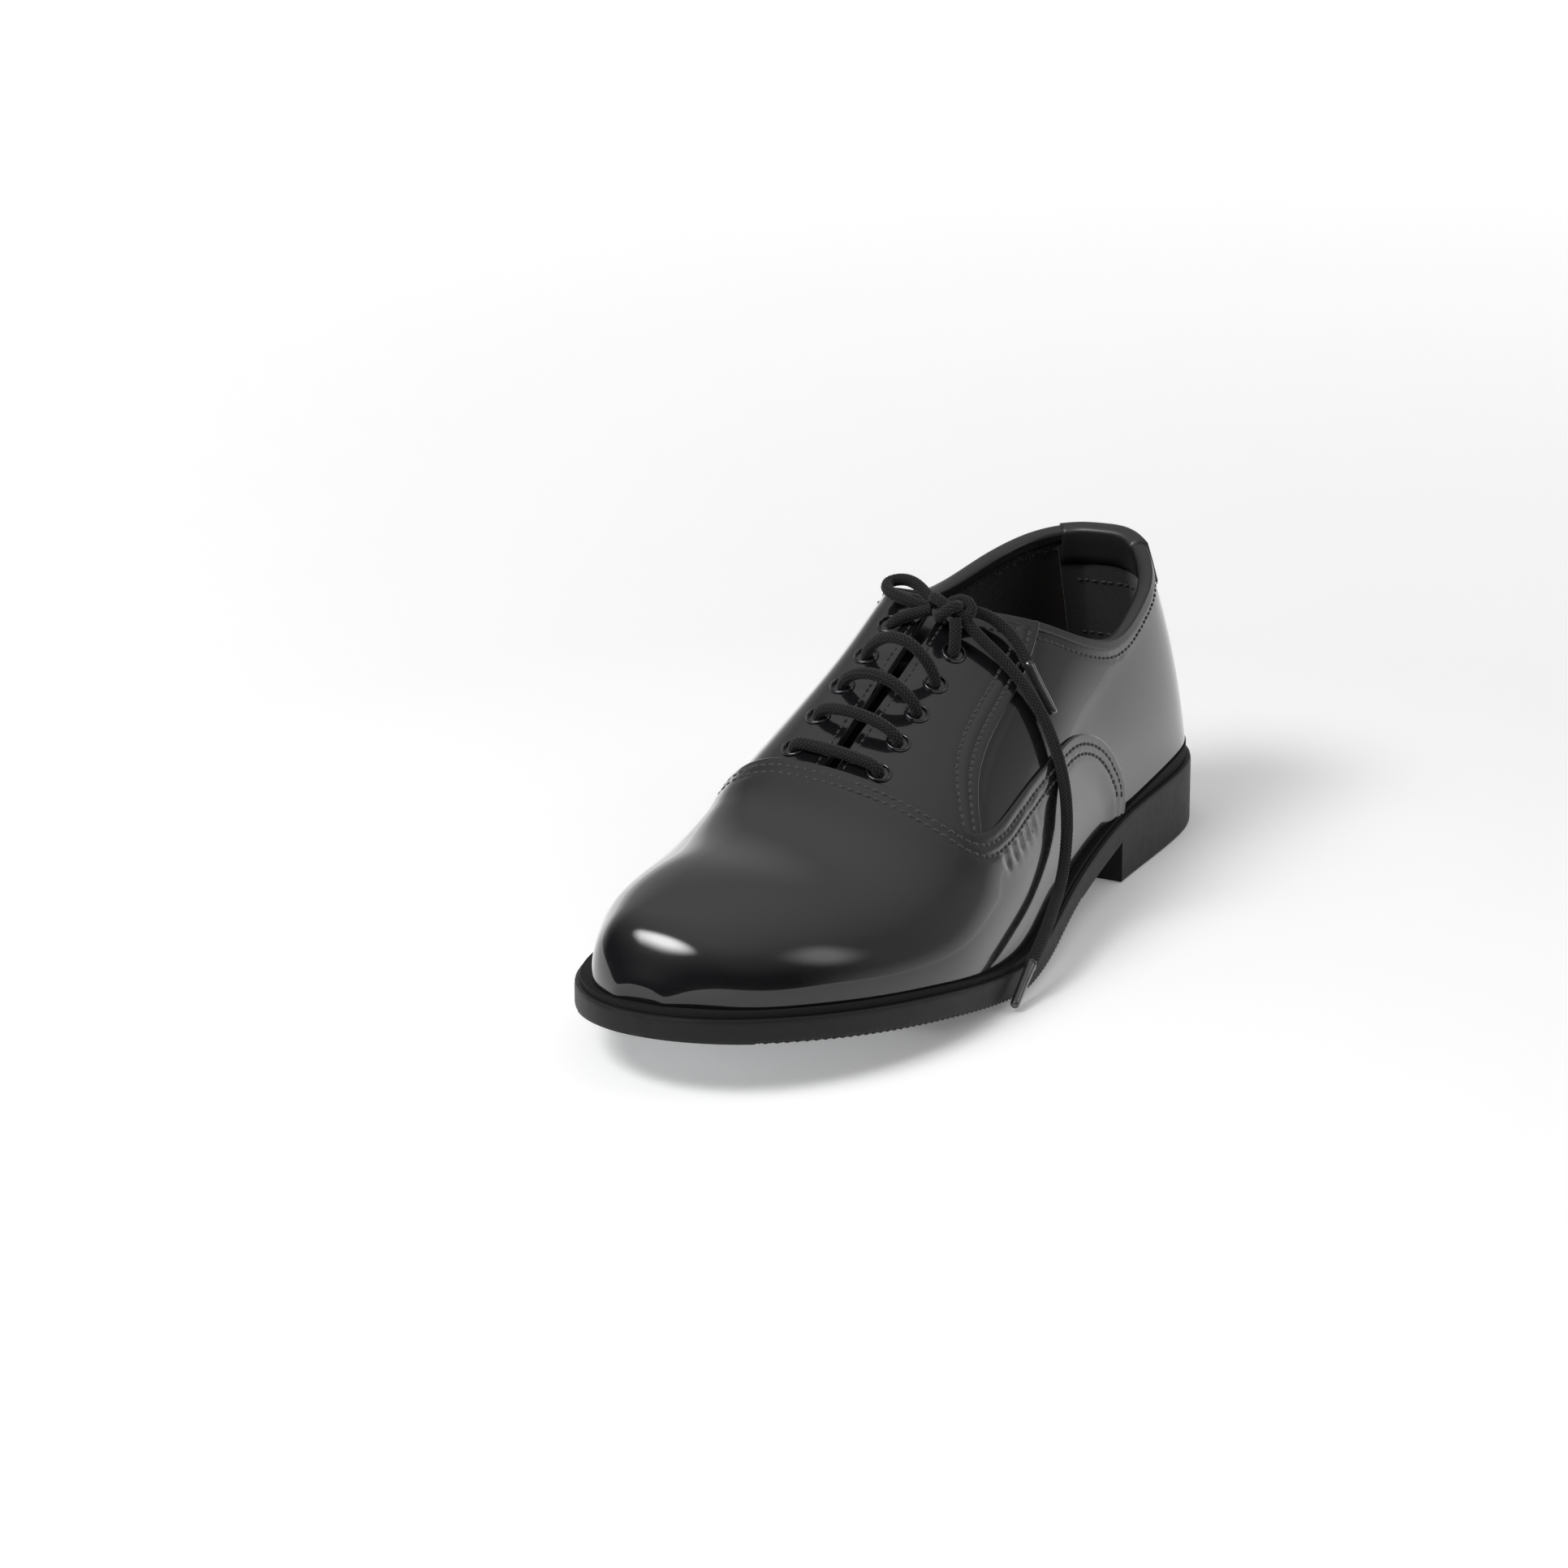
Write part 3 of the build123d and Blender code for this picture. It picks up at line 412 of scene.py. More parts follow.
def leather(name, keep, height, thick, mat, body=SHOE, depth=0.0, table=LAST):
    """A closed piece of the upper: the grid clipped by fields, lifted by height, its edge rolled over."""
    tu, faces = clip(keep)
    used = sorted({v for f in faces for v in f})
    remap = {v: k for k, v in enumerate(used)}
    tu = tu[used]
    faces = [[remap[v] for v in f] for f in faces]
    base = surface(tu[:, 0], tu[:, 1], table)
    n = surface_normal(tu[:, 0], tu[:, 1], table)
    base, n, faces = merged(base, n, faces)
    n[(base[:, 1] * n[:, 1] < 0) & (np.abs(base[:, 1]) > 144.0)] *= -1
    lift = height(fields(base), base) if callable(height) else np.full(len(base), float(height))
    lift = lift + depth
    top = base + n * lift[:, None]
    slope = slope_normals(top, faces, n)
    low = base + n * (lift - thick)[:, None]
    edges = boundary(faces)
    out = np.zeros_like(base)
    for a, b in edges:
        way = np.cross(top[b] - top[a], n[a])
        size = np.linalg.norm(way)
        if size > 1e-9:
            out[a] += way / size
            out[b] += way / size
    out = unit(out)
    rim = sorted({v for e in edges for v in e})
    spot = {v: k for k, v in enumerate(rim)}
    rim = np.array(rim)
    points = [top, low]
    normals = [slope, -n]
    count = len(top)
    all_faces = [list(f) for f in faces] + [[v + count for v in reversed(f)] for f in faces]
    previous = {v: v for v in rim}
    offset = 2 * count
    mid = (top[rim] + low[rim]) / 2
    r = thick / 2
    for k in range(1, EDGE_RINGS + 1):
        angle = math.pi * k / (EDGE_RINGS + 1)
        ring = mid + n[rim] * r * math.cos(angle) + out[rim] * r * 0.9 * math.sin(angle)
        points.append(ring)
        normals.append(n[rim] * math.cos(angle) + out[rim] * math.sin(angle))
        current = {v: offset + spot[v] for v in rim}
        all_faces += [[previous[b], previous[a], current[a], current[b]] for a, b in edges]
        previous = current
        offset += len(rim)
    all_faces += [[previous[b], previous[a], a + count, b + count] for a, b in edges]
    return new_object(name, np.vstack(points), all_faces, mat, body, np.vstack(normals))


def slope_normals(points, faces, fallback):
    """Vertex normals of a lifted sheet, from its faces, turned to agree with the last's own."""
    total = np.zeros_like(points)
    sizes = {}
    for f in faces:
        sizes.setdefault(len(f), []).append(f)
    for size, group in sizes.items():
        group = np.array(group)
        p = points[group]
        n = np.zeros((len(group), 3))
        for k in range(1, size - 1):
            n += np.cross(p[:, k] - p[:, 0], p[:, k + 1] - p[:, 0])
        for k in range(size):
            np.add.at(total, group[:, k], n)
    n = unit(total)
    agree = (n * fallback).sum(1, keepdims=True)
    n = np.where(agree < 0, -n, n)
    return np.where(np.abs(agree) < 0.5, fallback, n)


def isolines(values, keep):
    """Lines of (tau, u) where a grid field is 0 and the kept fields are at least 0."""
    v = values.reshape(NT, NU)
    ok = (np.stack(keep) >= 0).all(0).reshape(NT, NU)
    points = {}
    links = {}

    def cross(i, j, k, m):
        key = (i, j, k, m)
        if key not in points:
            a, b = v[i, j], v[k, m]
            t = a / (a - b)
            points[key] = (TAU[i] + t * (TAU[k] - TAU[i]), U[j] + t * (U[m] - U[j]))
        return key

    sign = v >= 0
    here = sign[:-1, :-1]
    change = (here ^ sign[1:, :-1]) | (here ^ sign[:-1, 1:]) | (here ^ sign[1:, 1:])
    for i, j in np.argwhere(change & ok[:-1, :-1] & ok[1:, 1:]):
        hits = []
        for a, b in (((i, j), (i + 1, j)), ((i, j + 1), (i + 1, j + 1)), ((i, j), (i, j + 1)),
                     ((i + 1, j), (i + 1, j + 1))):
            if sign[a] != sign[b]:
                hits.append(cross(*a, *b))
        if len(hits) == 2:
            links.setdefault(hits[0], []).append(hits[1])
            links.setdefault(hits[1], []).append(hits[0])
    lines = []
    left = set(links)
    while left:
        ends = [k for k in left if len(links[k]) == 1]
        start = min(ends) if ends else min(left)
        line = [start]
        left.discard(start)
        while True:
            onward = [k for k in links[line[-1]] if k in left]
            if not onward:
                break
            line.append(onward[0])
            left.discard(onward[0])
        if len(line) > 6:
            lines.append(np.array([points[k] for k in line]))
    return lines


def resample(tu, pitch):
    """Points every pitch millimetres along a (tau, u) line."""
    gone = travelled(surface(tu[:, 0], tu[:, 1]))
    at = np.arange(0.0, gone[-1], pitch)
    return read_at(at, gone, tu)


# ======== materials

def add_node(tree, kind, constants=(), wires=(), **settings):
    """A shader node with its settings, its constants and the outputs that feed it."""
    node = tree.nodes.new("ShaderNode" + kind)
    for name, value in settings.items():
        setattr(node, name, value)
    for socket, value in constants:
        node.inputs[socket].default_value = value
    for socket, source in wires:
        tree.links.new(source, node.inputs[socket])
    return node


def material(name, color, rough, coat=0.0, metal=0.0, sheen=0.0, layers=(), tint=None, coat_rough=0.03,
             specular=0.5, transmission=0.0):
    """A Principled material with layers of (kind, scale per metre, bump distance in mm, roughness swing)."""
    mat = bpy.data.materials.new(name)
    mat.use_nodes = True
    tree = mat.node_tree
    shader = tree.nodes["Principled BSDF"]
    for socket, value in (("Base Color", (*color, 1.0)), ("Roughness", rough), ("Metallic", metal),
                          ("Coat Weight", coat), ("Coat Roughness", coat_rough), ("Sheen Weight", sheen),
                          ("Specular IOR Level", specular), ("Transmission Weight", transmission)):
        shader.inputs[socket].default_value = value
    place = add_node(tree, "TexCoord").outputs["Object"]
    normal = None
    for kind, scale, height, swing in layers:
        if kind == "weave":
            value = add_node(tree, "TexVoronoi", [("Scale", scale)], [("Vector", place)]).outputs["Distance"]
        elif kind == "brushed":
            lines = add_node(tree, "Mapping", [("Scale", (scale * 0.04, scale, scale * 0.04))],
                             [("Vector", place)])
            value = add_node(tree, "TexNoise", [("Scale", 1.0), ("Detail", 3.0)],
                             [("Vector", lines.outputs["Vector"])]).outputs["Fac"]
        else:
            detail = 4.0 if kind == "noise" else 1.0
            value = add_node(tree, "TexNoise", [("Scale", scale), ("Detail", detail)],
                             [("Vector", place)]).outputs["Fac"]
        if height:
            wires = [("Height", value)] + ([("Normal", normal)] if normal is not None else [])
            normal = add_node(tree, "Bump", [("Strength", 1.0), ("Distance", height * MM)],
                              wires).outputs["Normal"]
        if swing:
            spread = add_node(tree, "MapRange", [("To Min", max(0.0, rough - swing)),
                                                 ("To Max", min(1.0, rough + swing))], [("Value", value)])
            tree.links.new(spread.outputs["Result"], shader.inputs["Roughness"])
        if tint is not None and kind == "noise":
            mix = add_node(tree, "Mix", [("A", (*color, 1.0)), ("B", (*tint, 1.0))], [("Factor", value)],
                           data_type="RGBA")
            tree.links.new(mix.outputs["Result"], shader.inputs["Base Color"])
    if normal is not None:
        tree.links.new(normal, shader.inputs["Normal"])
    return mat


PATENT = material("patent_leather", (0.006, 0.006, 0.007), 0.2, coat=1.0, coat_rough=0.04, specular=0.15,
                  layers=[("soft", 45, 0.10, 0.0), ("noise", 900, 0.004, 0.05)], tint=(0.009, 0.009, 0.010))
BINDING = material("binding_leather", (0.010, 0.010, 0.011), 0.34, coat=0.15, coat_rough=0.2,
                   layers=[("noise", 700, 0.05, 0.08)], tint=(0.018, 0.018, 0.019))
TAB = material("heel_tab_leather", (0.014, 0.014, 0.016), 0.42, coat=0.1, coat_rough=0.25,
               layers=[("noise", 1100, 0.05, 0.08)], tint=(0.022, 0.022, 0.024))
TONGUE_FACE = material("tongue_leather", (0.010, 0.010, 0.011), 0.3, coat=0.3, coat_rough=0.12,
                       layers=[("noise", 500, 0.06, 0.06)], tint=(0.016, 0.016, 0.017))
LINING = material("lining_fabric", (0.010, 0.008, 0.0075), 0.95, sheen=0.25, specular=0.1,
                  layers=[("weave", 1500, 0.12, 0.0), ("noise", 350, 0.25, 0.04)], tint=(0.020, 0.016, 0.014))
# painted light: the loose fibres keep the lining's brownish tone but are coloured about six times lighter,
# standing in for the light they catch
FIBRE_PAINTED_LIGHT = material("lining_fibre", (0.06, 0.054, 0.05), 0.9, sheen=0.3, layers=[("noise", 900, 0.02, 0.04)],
                 tint=(0.09, 0.082, 0.076))
SUEDE = material("grip_suede", (0.009, 0.008, 0.008), 0.9, sheen=0.4, specular=0.1,
                 layers=[("weave", 2300, 0.08, 0.0), ("noise", 500, 0.12, 0.04)], tint=(0.016, 0.014, 0.014))
SOCK = material("sock_fabric", (0.012, 0.011, 0.011), 0.9, sheen=0.2, specular=0.15,
                layers=[("weave", 1100, 0.10, 0.0), ("noise", 260, 0.2, 0.04)], tint=(0.02, 0.018, 0.017))
THREAD = material("thread", (0.010, 0.010, 0.011), 0.5, sheen=0.2, layers=[("noise", 2600, 0.04, 0.1)],
                  tint=(0.02, 0.02, 0.021))
LACE = material("lace_braid", (0.007, 0.007, 0.0075), 0.82, sheen=0.12, specular=0.2,
                layers=[("noise", 2400, 0.08, 0.06)])
# painted shade and sheen: the braid's colour is near black where its strands dip under each other and lighter
# on their crowns
lace_shade_height = add_node(LACE.node_tree, "Attribute", attribute_name="braid_shade")
lace_painted_shade = add_node(LACE.node_tree, "Mix",
                      [("A", (0.001, 0.001, 0.001, 1.0)), ("B", (0.036, 0.036, 0.037, 1.0))],
                      [("Factor", lace_shade_height.outputs["Fac"])], data_type="RGBA")
LACE.node_tree.links.new(lace_painted_shade.outputs["Result"],
                         LACE.node_tree.nodes["Principled BSDF"].inputs["Base Color"])
RUBBER = material("sole_rubber", (0.007, 0.007, 0.0075), 0.5, specular=0.25,
                  layers=[("noise", 260, 0.03, 0.07), ("noise", 1800, 0.02, 0.0)],
                  tint=(0.012, 0.012, 0.0125))
WELT = material("welt_rubber", (0.008, 0.008, 0.008), 0.8, specular=0.2, layers=[("noise", 900, 0.05, 0.08)],
                tint=(0.014, 0.014, 0.014))
TAP = material("tap_aluminium", (0.78, 0.79, 0.80), 0.3, metal=1.0, layers=[("brushed", 2600, 0.012, 0.1)])
STEEL = material("screw_steel", (0.36, 0.36, 0.37), 0.3, metal=1.0, layers=[("brushed", 3500, 0.01, 0.08)])
EYELET = material("eyelet_metal", (0.05, 0.05, 0.055), 0.16, metal=0.85, coat=0.4, coat_rough=0.08,
                  layers=[("noise", 1500, 0.008, 0.05)])
AGLET = material("aglet_plastic", (0.03, 0.03, 0.032), 0.12, coat=1.0, coat_rough=0.04, transmission=0.25,
                 layers=[("noise", 700, 0.02, 0.04)])
FELT = material("interlining", (0.02, 0.019, 0.018), 0.95, sheen=0.2, layers=[("noise", 800, 0.15, 0.03)],
                tint=(0.035, 0.033, 0.03))
CORK = material("cork", (0.42, 0.29, 0.16), 0.85,
                layers=[("weave", 420, 0.2, 0.0), ("noise", 900, 0.15, 0.05)], tint=(0.22, 0.14, 0.08))
BOARD = material("fibre_board", (0.42, 0.35, 0.25), 0.85, layers=[("noise", 1200, 0.06, 0.05)],
                 tint=(0.33, 0.27, 0.19))

node_materials = (
    (RUBBER, ["outsole"]), (WELT, ["welt"]), (TAP, ["toe_tap", "heel_tap"]), (CORK, ["cork_filler"]),
    (STEEL, ["toe_tap_screws", "heel_tap_screws", "shank"]), (BOARD, ["insole_board"]),
    (SOCK, ["sock_liner"]),
    (FELT, ["toe_puff", "heel_counter", "vamp_interlining", "quarter_interlining", "lateral_facing_stay",
            "medial_facing_stay"]),
)
for mat, nodes in node_materials:
    for node in nodes:
        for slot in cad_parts[node].material_slots:
            slot.material = mat

# ======== leathers

LEATHER = 1.2
LINING_THICK = 0.9
LINING_DEPTH = -2.3
# distances of the stitch rows from the edge they follow
VAMP_ROWS = (2.4, 5.1)
SEAM_ROWS = (1.8, 4.5)
TOP_ROW = 4.4
FACING_ROWS = (1.6,)


def channel(value, centre, deep):
    """The dip that a stitch row pulls into the leather."""
    return -deep * bump(value, centre, 0.6)


def vamp_height(f, p):
    """The vamp over the seam's edge: a lifted edge, two stitch rows, creases beside the facing."""
    e = f["vamp"]
    h = 1.25 * (1 - smooth_step(e, 0.0, 15.0))
    for row in VAMP_ROWS:
        h = h + channel(e, row, 0.38)
    h = h + 0.15 * bump(e, 3.75, 0.7) + 0.12 * bump(e, 0.9, 0.6)
    along = f["vamp_along"] - 94.0
    window = smooth_step(along, -2.0, 3.0) * (1 - smooth_step(along, 24.0, 32.0))
    pinch = np.abs(np.sin(math.pi * along / 5.4)) ** 3
    return h - 0.75 * pinch * window * bump(e, 8.2, 2.2)


def eyestay_height(f, p):
    """The facing over the quarter: a lifted edge, its stitch rows and the row beside the slot."""
    q = f["quarter"]
    h = 0.8 * (1 - smooth_step(q, 0.0, 8.0))
    for row in SEAM_ROWS:
        h = h + channel(q, row, 0.25)
    h = h + 0.1 * bump(q, 3.15, 0.6)
    for row in FACING_ROWS:
        h = h + channel(f["slot"], row, 0.18)
    h = h + 0.15 * bump(f["slot"], 0.4, 0.7)
    return h + channel(f["top"], TOP_ROW, 0.15)


def quarter_height(f, p):
    """The quarter under the facing: the row below the topline and the dip along the seam."""
    h = channel(f["top"], TOP_ROW, 0.18)
    return h - 0.25 * bump(f["quarter"], -1.2, 1.2)


leather("vamp_leather", [F["vamp"]], vamp_height, LEATHER, PATENT)
for side, sign in (("lateral", 1), ("medial", -1)):
    half = sign * F["side"]
    leather(side + "_eyestay_leather", [half, F["quarter"], 3.0 - F["vamp"], F["top"], F["slot"]],
            eyestay_height, LEATHER, PATENT)
    leather(side + "_quarter_leather", [half, 1.5 - F["quarter"], 3.0 - F["vamp"], F["top"]],
            quarter_height, LEATHER, PATENT)
leather("shoe_lining", [F["top"] - 0.5, F["slot"]], 0.0, LINING_THICK, LINING, depth=LINING_DEPTH)

for piece, nodes in (("vamp_leather", ["vamp"]), ("lateral_eyestay_leather", ["lateral_eyestay"]),
                     ("medial_eyestay_leather", ["medial_eyestay"]),
                     ("lateral_quarter_leather", ["lateral_quarter"]),
                     ("medial_quarter_leather", ["medial_quarter"])):
    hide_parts(*nodes)
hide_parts("vamp_lining", "lateral_quarter_lining", "medial_quarter_lining")

# tongue: plan shape with a rounded tip, riding on its own body
TONGUE_DEPTH = 10.9
TIP_S = 113.0
ROOT_S = 212.0
TIP_HALF = 24.0
ROOT_HALF = 18.0
TIP_RADIUS = 15.0
TONGUE_THICK = 1.1
TONGUE_BACK = 0.8
tongue_table = sunk_last(TONGUE_DEPTH)
tongue_points = surface(flat_tau, flat_u, tongue_table)
tongue_s = HALF - tongue_points[:, 1]
tongue_x = np.abs(tongue_points[:, 0] - SLOT_CENTRE)
tongue_half = np.interp(tongue_s, [TIP_S, ROOT_S], [TIP_HALF, ROOT_HALF])
corner = TIP_RADIUS - np.hypot(np.maximum(TIP_S + TIP_RADIUS - tongue_s, 0),
                               np.maximum(tongue_x - tongue_half + TIP_RADIUS, 0))
tongue_floor = np.interp(tongue_s, [70, 116, 164, 200, 230], [74, 66, 48, 34, 26])
tongue_keep = [np.minimum(corner, ROOT_S - tongue_s), tongue_points[:, 2] - tongue_floor]


def tongue_height(f, p):
    """The tongue's root rises to the vamp's inner face."""
    return 6.3 * smooth_step(HALF - p[:, 1], 199.0, 211.0)


leather("tongue_face", tongue_keep, tongue_height, TONGUE_THICK, TONGUE_FACE, TONGUE, table=tongue_table)
leather("tongue_backing", tongue_keep, tongue_height, TONGUE_BACK, LINING, TONGUE, depth=-TONGUE_THICK,
        table=tongue_table)
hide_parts("tongue")
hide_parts("tongue_lining")

# ======== sole edge: a band round the moulded sole

OUTLINE_LATERAL = [(0, 0), (1.2, 9.0), (6.0, 19.5), (18.5, 29.5), (40, 34.2), (75, 36.0), (100, 38.0),
                   (125, 41.5), (150, 46.5), (175, 51.0), (200, 52.8), (222, 51.6), (244, 46.8), (264, 39.0),
                   (280, 29.0), (292, 17.0), (298.6, 4.0), (300.0, -6.0)]
OUTLINE_MEDIAL = [(0, 0), (1.2, -9.0), (6.0, -19.5), (18.5, -29.3), (40, -33.8), (75, -33.4), (100, -31.0),
                  (125, -30.6), (150, -35.0), (175, -42.0), (200, -48.0), (222, -49.8), (244, -48.0),
                  (264, -43.2), (280, -36.4), (292, -26.8), (298.6, -15.5), (300.0, -6.0)]
SOLE_TOP = [(-20, 20.5), (0, 20.5), (30, 20.5), (60, 20.2), (82, 19.0), (100, 16.6), (125, 12.6),
            (150, 8.5), (175, 7.3), (200, 10.4), (225, 14.5), (250, 17.8), (275, 20.8), (300, 23.4),
            (320, 25.0)]
TREAD = [(118, 6.9), (135, 3.8), (150, 1.3), (165, 0.2), (178, 0.2), (200, 3.0), (225, 7.1), (250, 10.5),
         (275, 13.8), (287, 15.2)]
WAIST = [(82.5, 12.4), (100, 9.5), (118, 6.9)]
NOSE = [(287, 15.2), (300, 16.9), (320, 19.5)]
WAIST_END = 118.0
NOSE_START = 287.0
BREAST_S = 82.5
HEEL_REST = 0.3
RIB_STEP = 1.2
RIB_DEPTH = 0.7


def height_of(curve, s):
    """A side view curve's height at s."""
    line = curve_points(curve, 300)
    return np.interp(s, line[:, 0], line[:, 1])


def underside(s, low_heel):
    """Height of the sole's underside at s; low_heel says whether the breast's edge counts as heel."""
    tread = height_of(TREAD, s)
    wave = np.abs(((s - WAIST_END) / RIB_STEP) % 2 - 1)
    ribbed = tread + RIB_DEPTH * (1 - wave)
    ahead_of_waist = np.where(s < NOSE_START, ribbed, height_of(NOSE, s))
    z = np.where(s < WAIST_END, height_of(WAIST, s), ahead_of_waist)
    return np.where((s < BREAST_S) | (low_heel & (s <= BREAST_S)), HEEL_REST, z)


loop = []
for line, flip in ((OUTLINE_LATERAL, False), (OUTLINE_MEDIAL, True)):
    dense = curve_points(line, 2400)
    gone = np.concatenate([[0], np.cumsum(np.hypot(*np.diff(dense, axis=0).T))])
    at = np.arange(0, gone[-1], 0.6)
    at = np.unique(np.concatenate([at, np.interp([BREAST_S - 0.02, BREAST_S + 0.02], dense[:, 0], gone)]))
    part = read_at(at, gone, dense)
    loop.append(part[::-1][:-1] if flip else part)
loop = np.vstack(loop)
ahead = unit(np.roll(loop, -1, axis=0) - np.roll(loop, 1, axis=0))
away = np.stack([-ahead[:, 1], ahead[:, 0]], 1)
edge_low = underside(loop[:, 0], loop[:, 0] < BREAST_S)
edge_top = height_of(SOLE_TOP, loop[:, 0])
# (outwards, up) of the band's section, from the underside's edge and then from the top's edge
LOW_EDGE = [(-1.0, 0.0), (-0.25, 0.0), (0.12, 0.35), (0.2, 0.9), (0.2, 2.0)]
TOP_EDGE = [(0.2, -1.6), (0.16, -0.8), (0.0, -0.25), (-0.35, 0.05), (-1.0, 0.1)]
band = []
for section, height in ((LOW_EDGE, edge_low), (TOP_EDGE, edge_top)):
    for outwards, up in section:
        place = loop + away * outwards
        band.append(np.stack([place[:, 1], HALF - place[:, 0], height + up], 1))
sole_edge = closed_object("sole_edge_band", np.vstack(band), ring_faces(len(band), len(loop)), RUBBER)
sole_edge.data.set_sharp_from_angle(angle=math.radians(50))

# ======== topline binding and heel tab

top_lines = isolines(F["top"], [F["slot"] - 0.3, 128.0 - F["s"]])
top_lines = sorted(top_lines, key=lambda line: -len(line))[:2]
# each half runs from the heel's middle to the facing
halves = {}
for line in top_lines:
    side = "lateral" if np.median(line[:, 1]) < 1 else "medial"
    halves[side] = line if line[0][0] < line[-1][0] else line[::-1]

EDGE_SOFTENING = 0.6
SMOOTHING_PASSES = 12
TOP_RINGS = 8
U_STEP = 0.02
OUTER_SHARES = (1.0, 0.97, 0.9, 0.7, 0.5, 0.3, 0.1, 0.0)
INNER_SHARES = (0.0, 0.3, 0.7, 0.95, 1.0)


def rim_strip(name, line, leg_out, leg_in, over, outer, inner, mat):
    """A strip wrapped over the shoe's mouth along (tau, u) points: outer leg, rounded top, inner leg."""
    rings = []
    for tau, u in line:
        sign = -1.0 if u <= 1 else 1.0
        here = surface(tau, u)
        low = surface(tau, np.clip(u + sign * U_STEP, 0, 2))
        speed = np.linalg.norm(low - here) / U_STEP
        up = (here - low) / np.linalg.norm(here - low)
        n = surface_normal(tau, u)
        ring = []
        for share in OUTER_SHARES:
            at = np.clip(u + sign * leg_out * share / speed, 0, 2)
            lift = outer * min(1.0, (1 - share) * leg_out / EDGE_SOFTENING) if share > 0.9 else outer
            ring.append(surface(tau, at) + surface_normal(tau, at) * lift)
        centre = here + n * (outer + inner) / 2
        r = (outer - inner) / 2
        for k in range(1, TOP_RINGS + 1):
            angle = math.pi * k / (TOP_RINGS + 1)
            ring.append(centre + n * r * math.cos(angle) + up * over * math.sin(angle))
        for share in INNER_SHARES:
            at = np.clip(u + sign * leg_in * share / speed, 0, 2)
            lift = inner if share < 0.97 else -WALL
            ring.append(surface(tau, at) + surface_normal(tau, at) * lift)
        rings.append(ring)
    rings = np.array(rings)
    for _ in range(SMOOTHING_PASSES):
        rings[1:-1] = 0.25 * rings[:-2] + 0.5 * rings[1:-1] + 0.25 * rings[2:]
    count, around = rings.shape[:2]
    faces = ring_faces(count, around, closed=False)
    faces.append(list(reversed(range(around))))
    faces.append([(count - 1) * around + j for j in range(around)])
    return closed_object(name, rings.reshape(-1, 3), faces, mat)


TAB_HALF_WIDTH = 15.0
RIM_PITCH = 1.5
both = np.vstack([resample(halves["lateral"], RIM_PITCH)[::-1], resample(halves["medial"], RIM_PITCH)[1:]])
where = surface(both[:, 0], both[:, 1])
bound = rim_strip("binding_bead", both, leg_out=2.8, leg_in=2.6, over=1.1, outer=0.75, inner=-3.9,
                  mat=BINDING)
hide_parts("topline_binding")
in_tab = (np.abs(where[:, 0]) < TAB_HALF_WIDTH) & (where[:, 1] > 80.0)
tab = rim_strip("heel_tab_wrap", both[in_tab], leg_out=13.5, leg_in=10.5, over=1.6, outer=1.35, inner=-4.35,
                mat=TAB)
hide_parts("heel_tab")

# soft grip patch sewn inside the heel, over the lining
GRIP_HALF_WIDTH = 15.5
grip_side = GRIP_HALF_WIDTH - np.abs(grid_points[:, 0])
grip_rear = 46.0 - F["s"]
leather("heel_grip", [grip_side, grip_rear, F["top"] - 4.0, 38.0 - F["top"]], 0.0, LINING_THICK, SUEDE,
        depth=-2.9)

# ======== stitches

stitch_points = []
stitch_faces = []
SIDES = 8
SAMPLES = 8
INNER_FACE = WALL + 0.75
# (place along the stitch, share of its radius)
CAPSULE = [(-0.5, 0.15), (-0.46, 0.6), (-0.32, 0.95), (0.0, 1.0), (0.32, 0.95), (0.46, 0.6), (0.5, 0.15)]


def stitch(start, end, up, radius):
    """One thread of a stitch: a fat capsule, its ends dipping into the leather."""
    way = end - start
    size = np.linalg.norm(way)
    way = way / size
    side = np.cross(way, up)
    middle = (start + end) / 2
    base = len(stitch_points)
    for place, wide in CAPSULE:
        dip = -radius * 1.1 * (2 * abs(place)) ** 3
        for k in range(SIDES):
            angle = 2 * math.pi * k / SIDES
            stitch_points.append(middle + way * place * size + up * (dip + wide * radius * math.sin(angle))
                                 + side * wide * radius * 1.15 * math.cos(angle))
    stitch_faces.extend([base + v for v in face] for face in ring_faces(len(CAPSULE), SIDES, closed=False))
    stitch_faces.append([base + k for k in reversed(range(SIDES))])
    stitch_faces.append([base + (len(CAPSULE) - 1) * SIDES + k for k in range(SIDES)])


def stitch_rows(values, keep, height, pitch=2.7, length=2.3, radius=0.46, rise=0.16, inner=False):
    """Stitches along every line where values is 0, on the outside or on the lining's face."""
    for line in isolines(values, keep):
        at = resample(line, pitch / SAMPLES)
        p = surface(at[:, 0], at[:, 1])
        n = surface_normal(at[:, 0], at[:, 1])
        if inner:
            p = p - n * INNER_FACE
            n = -n
        else:
            p = p + n * (height(fields(p), p) + rise)[:, None]
        reach = int(round(SAMPLES * length / pitch))
        for k in range(0, len(p) - reach, SAMPLES):
            stitch(p[k], p[k + reach], n[k + reach // 2], radius)


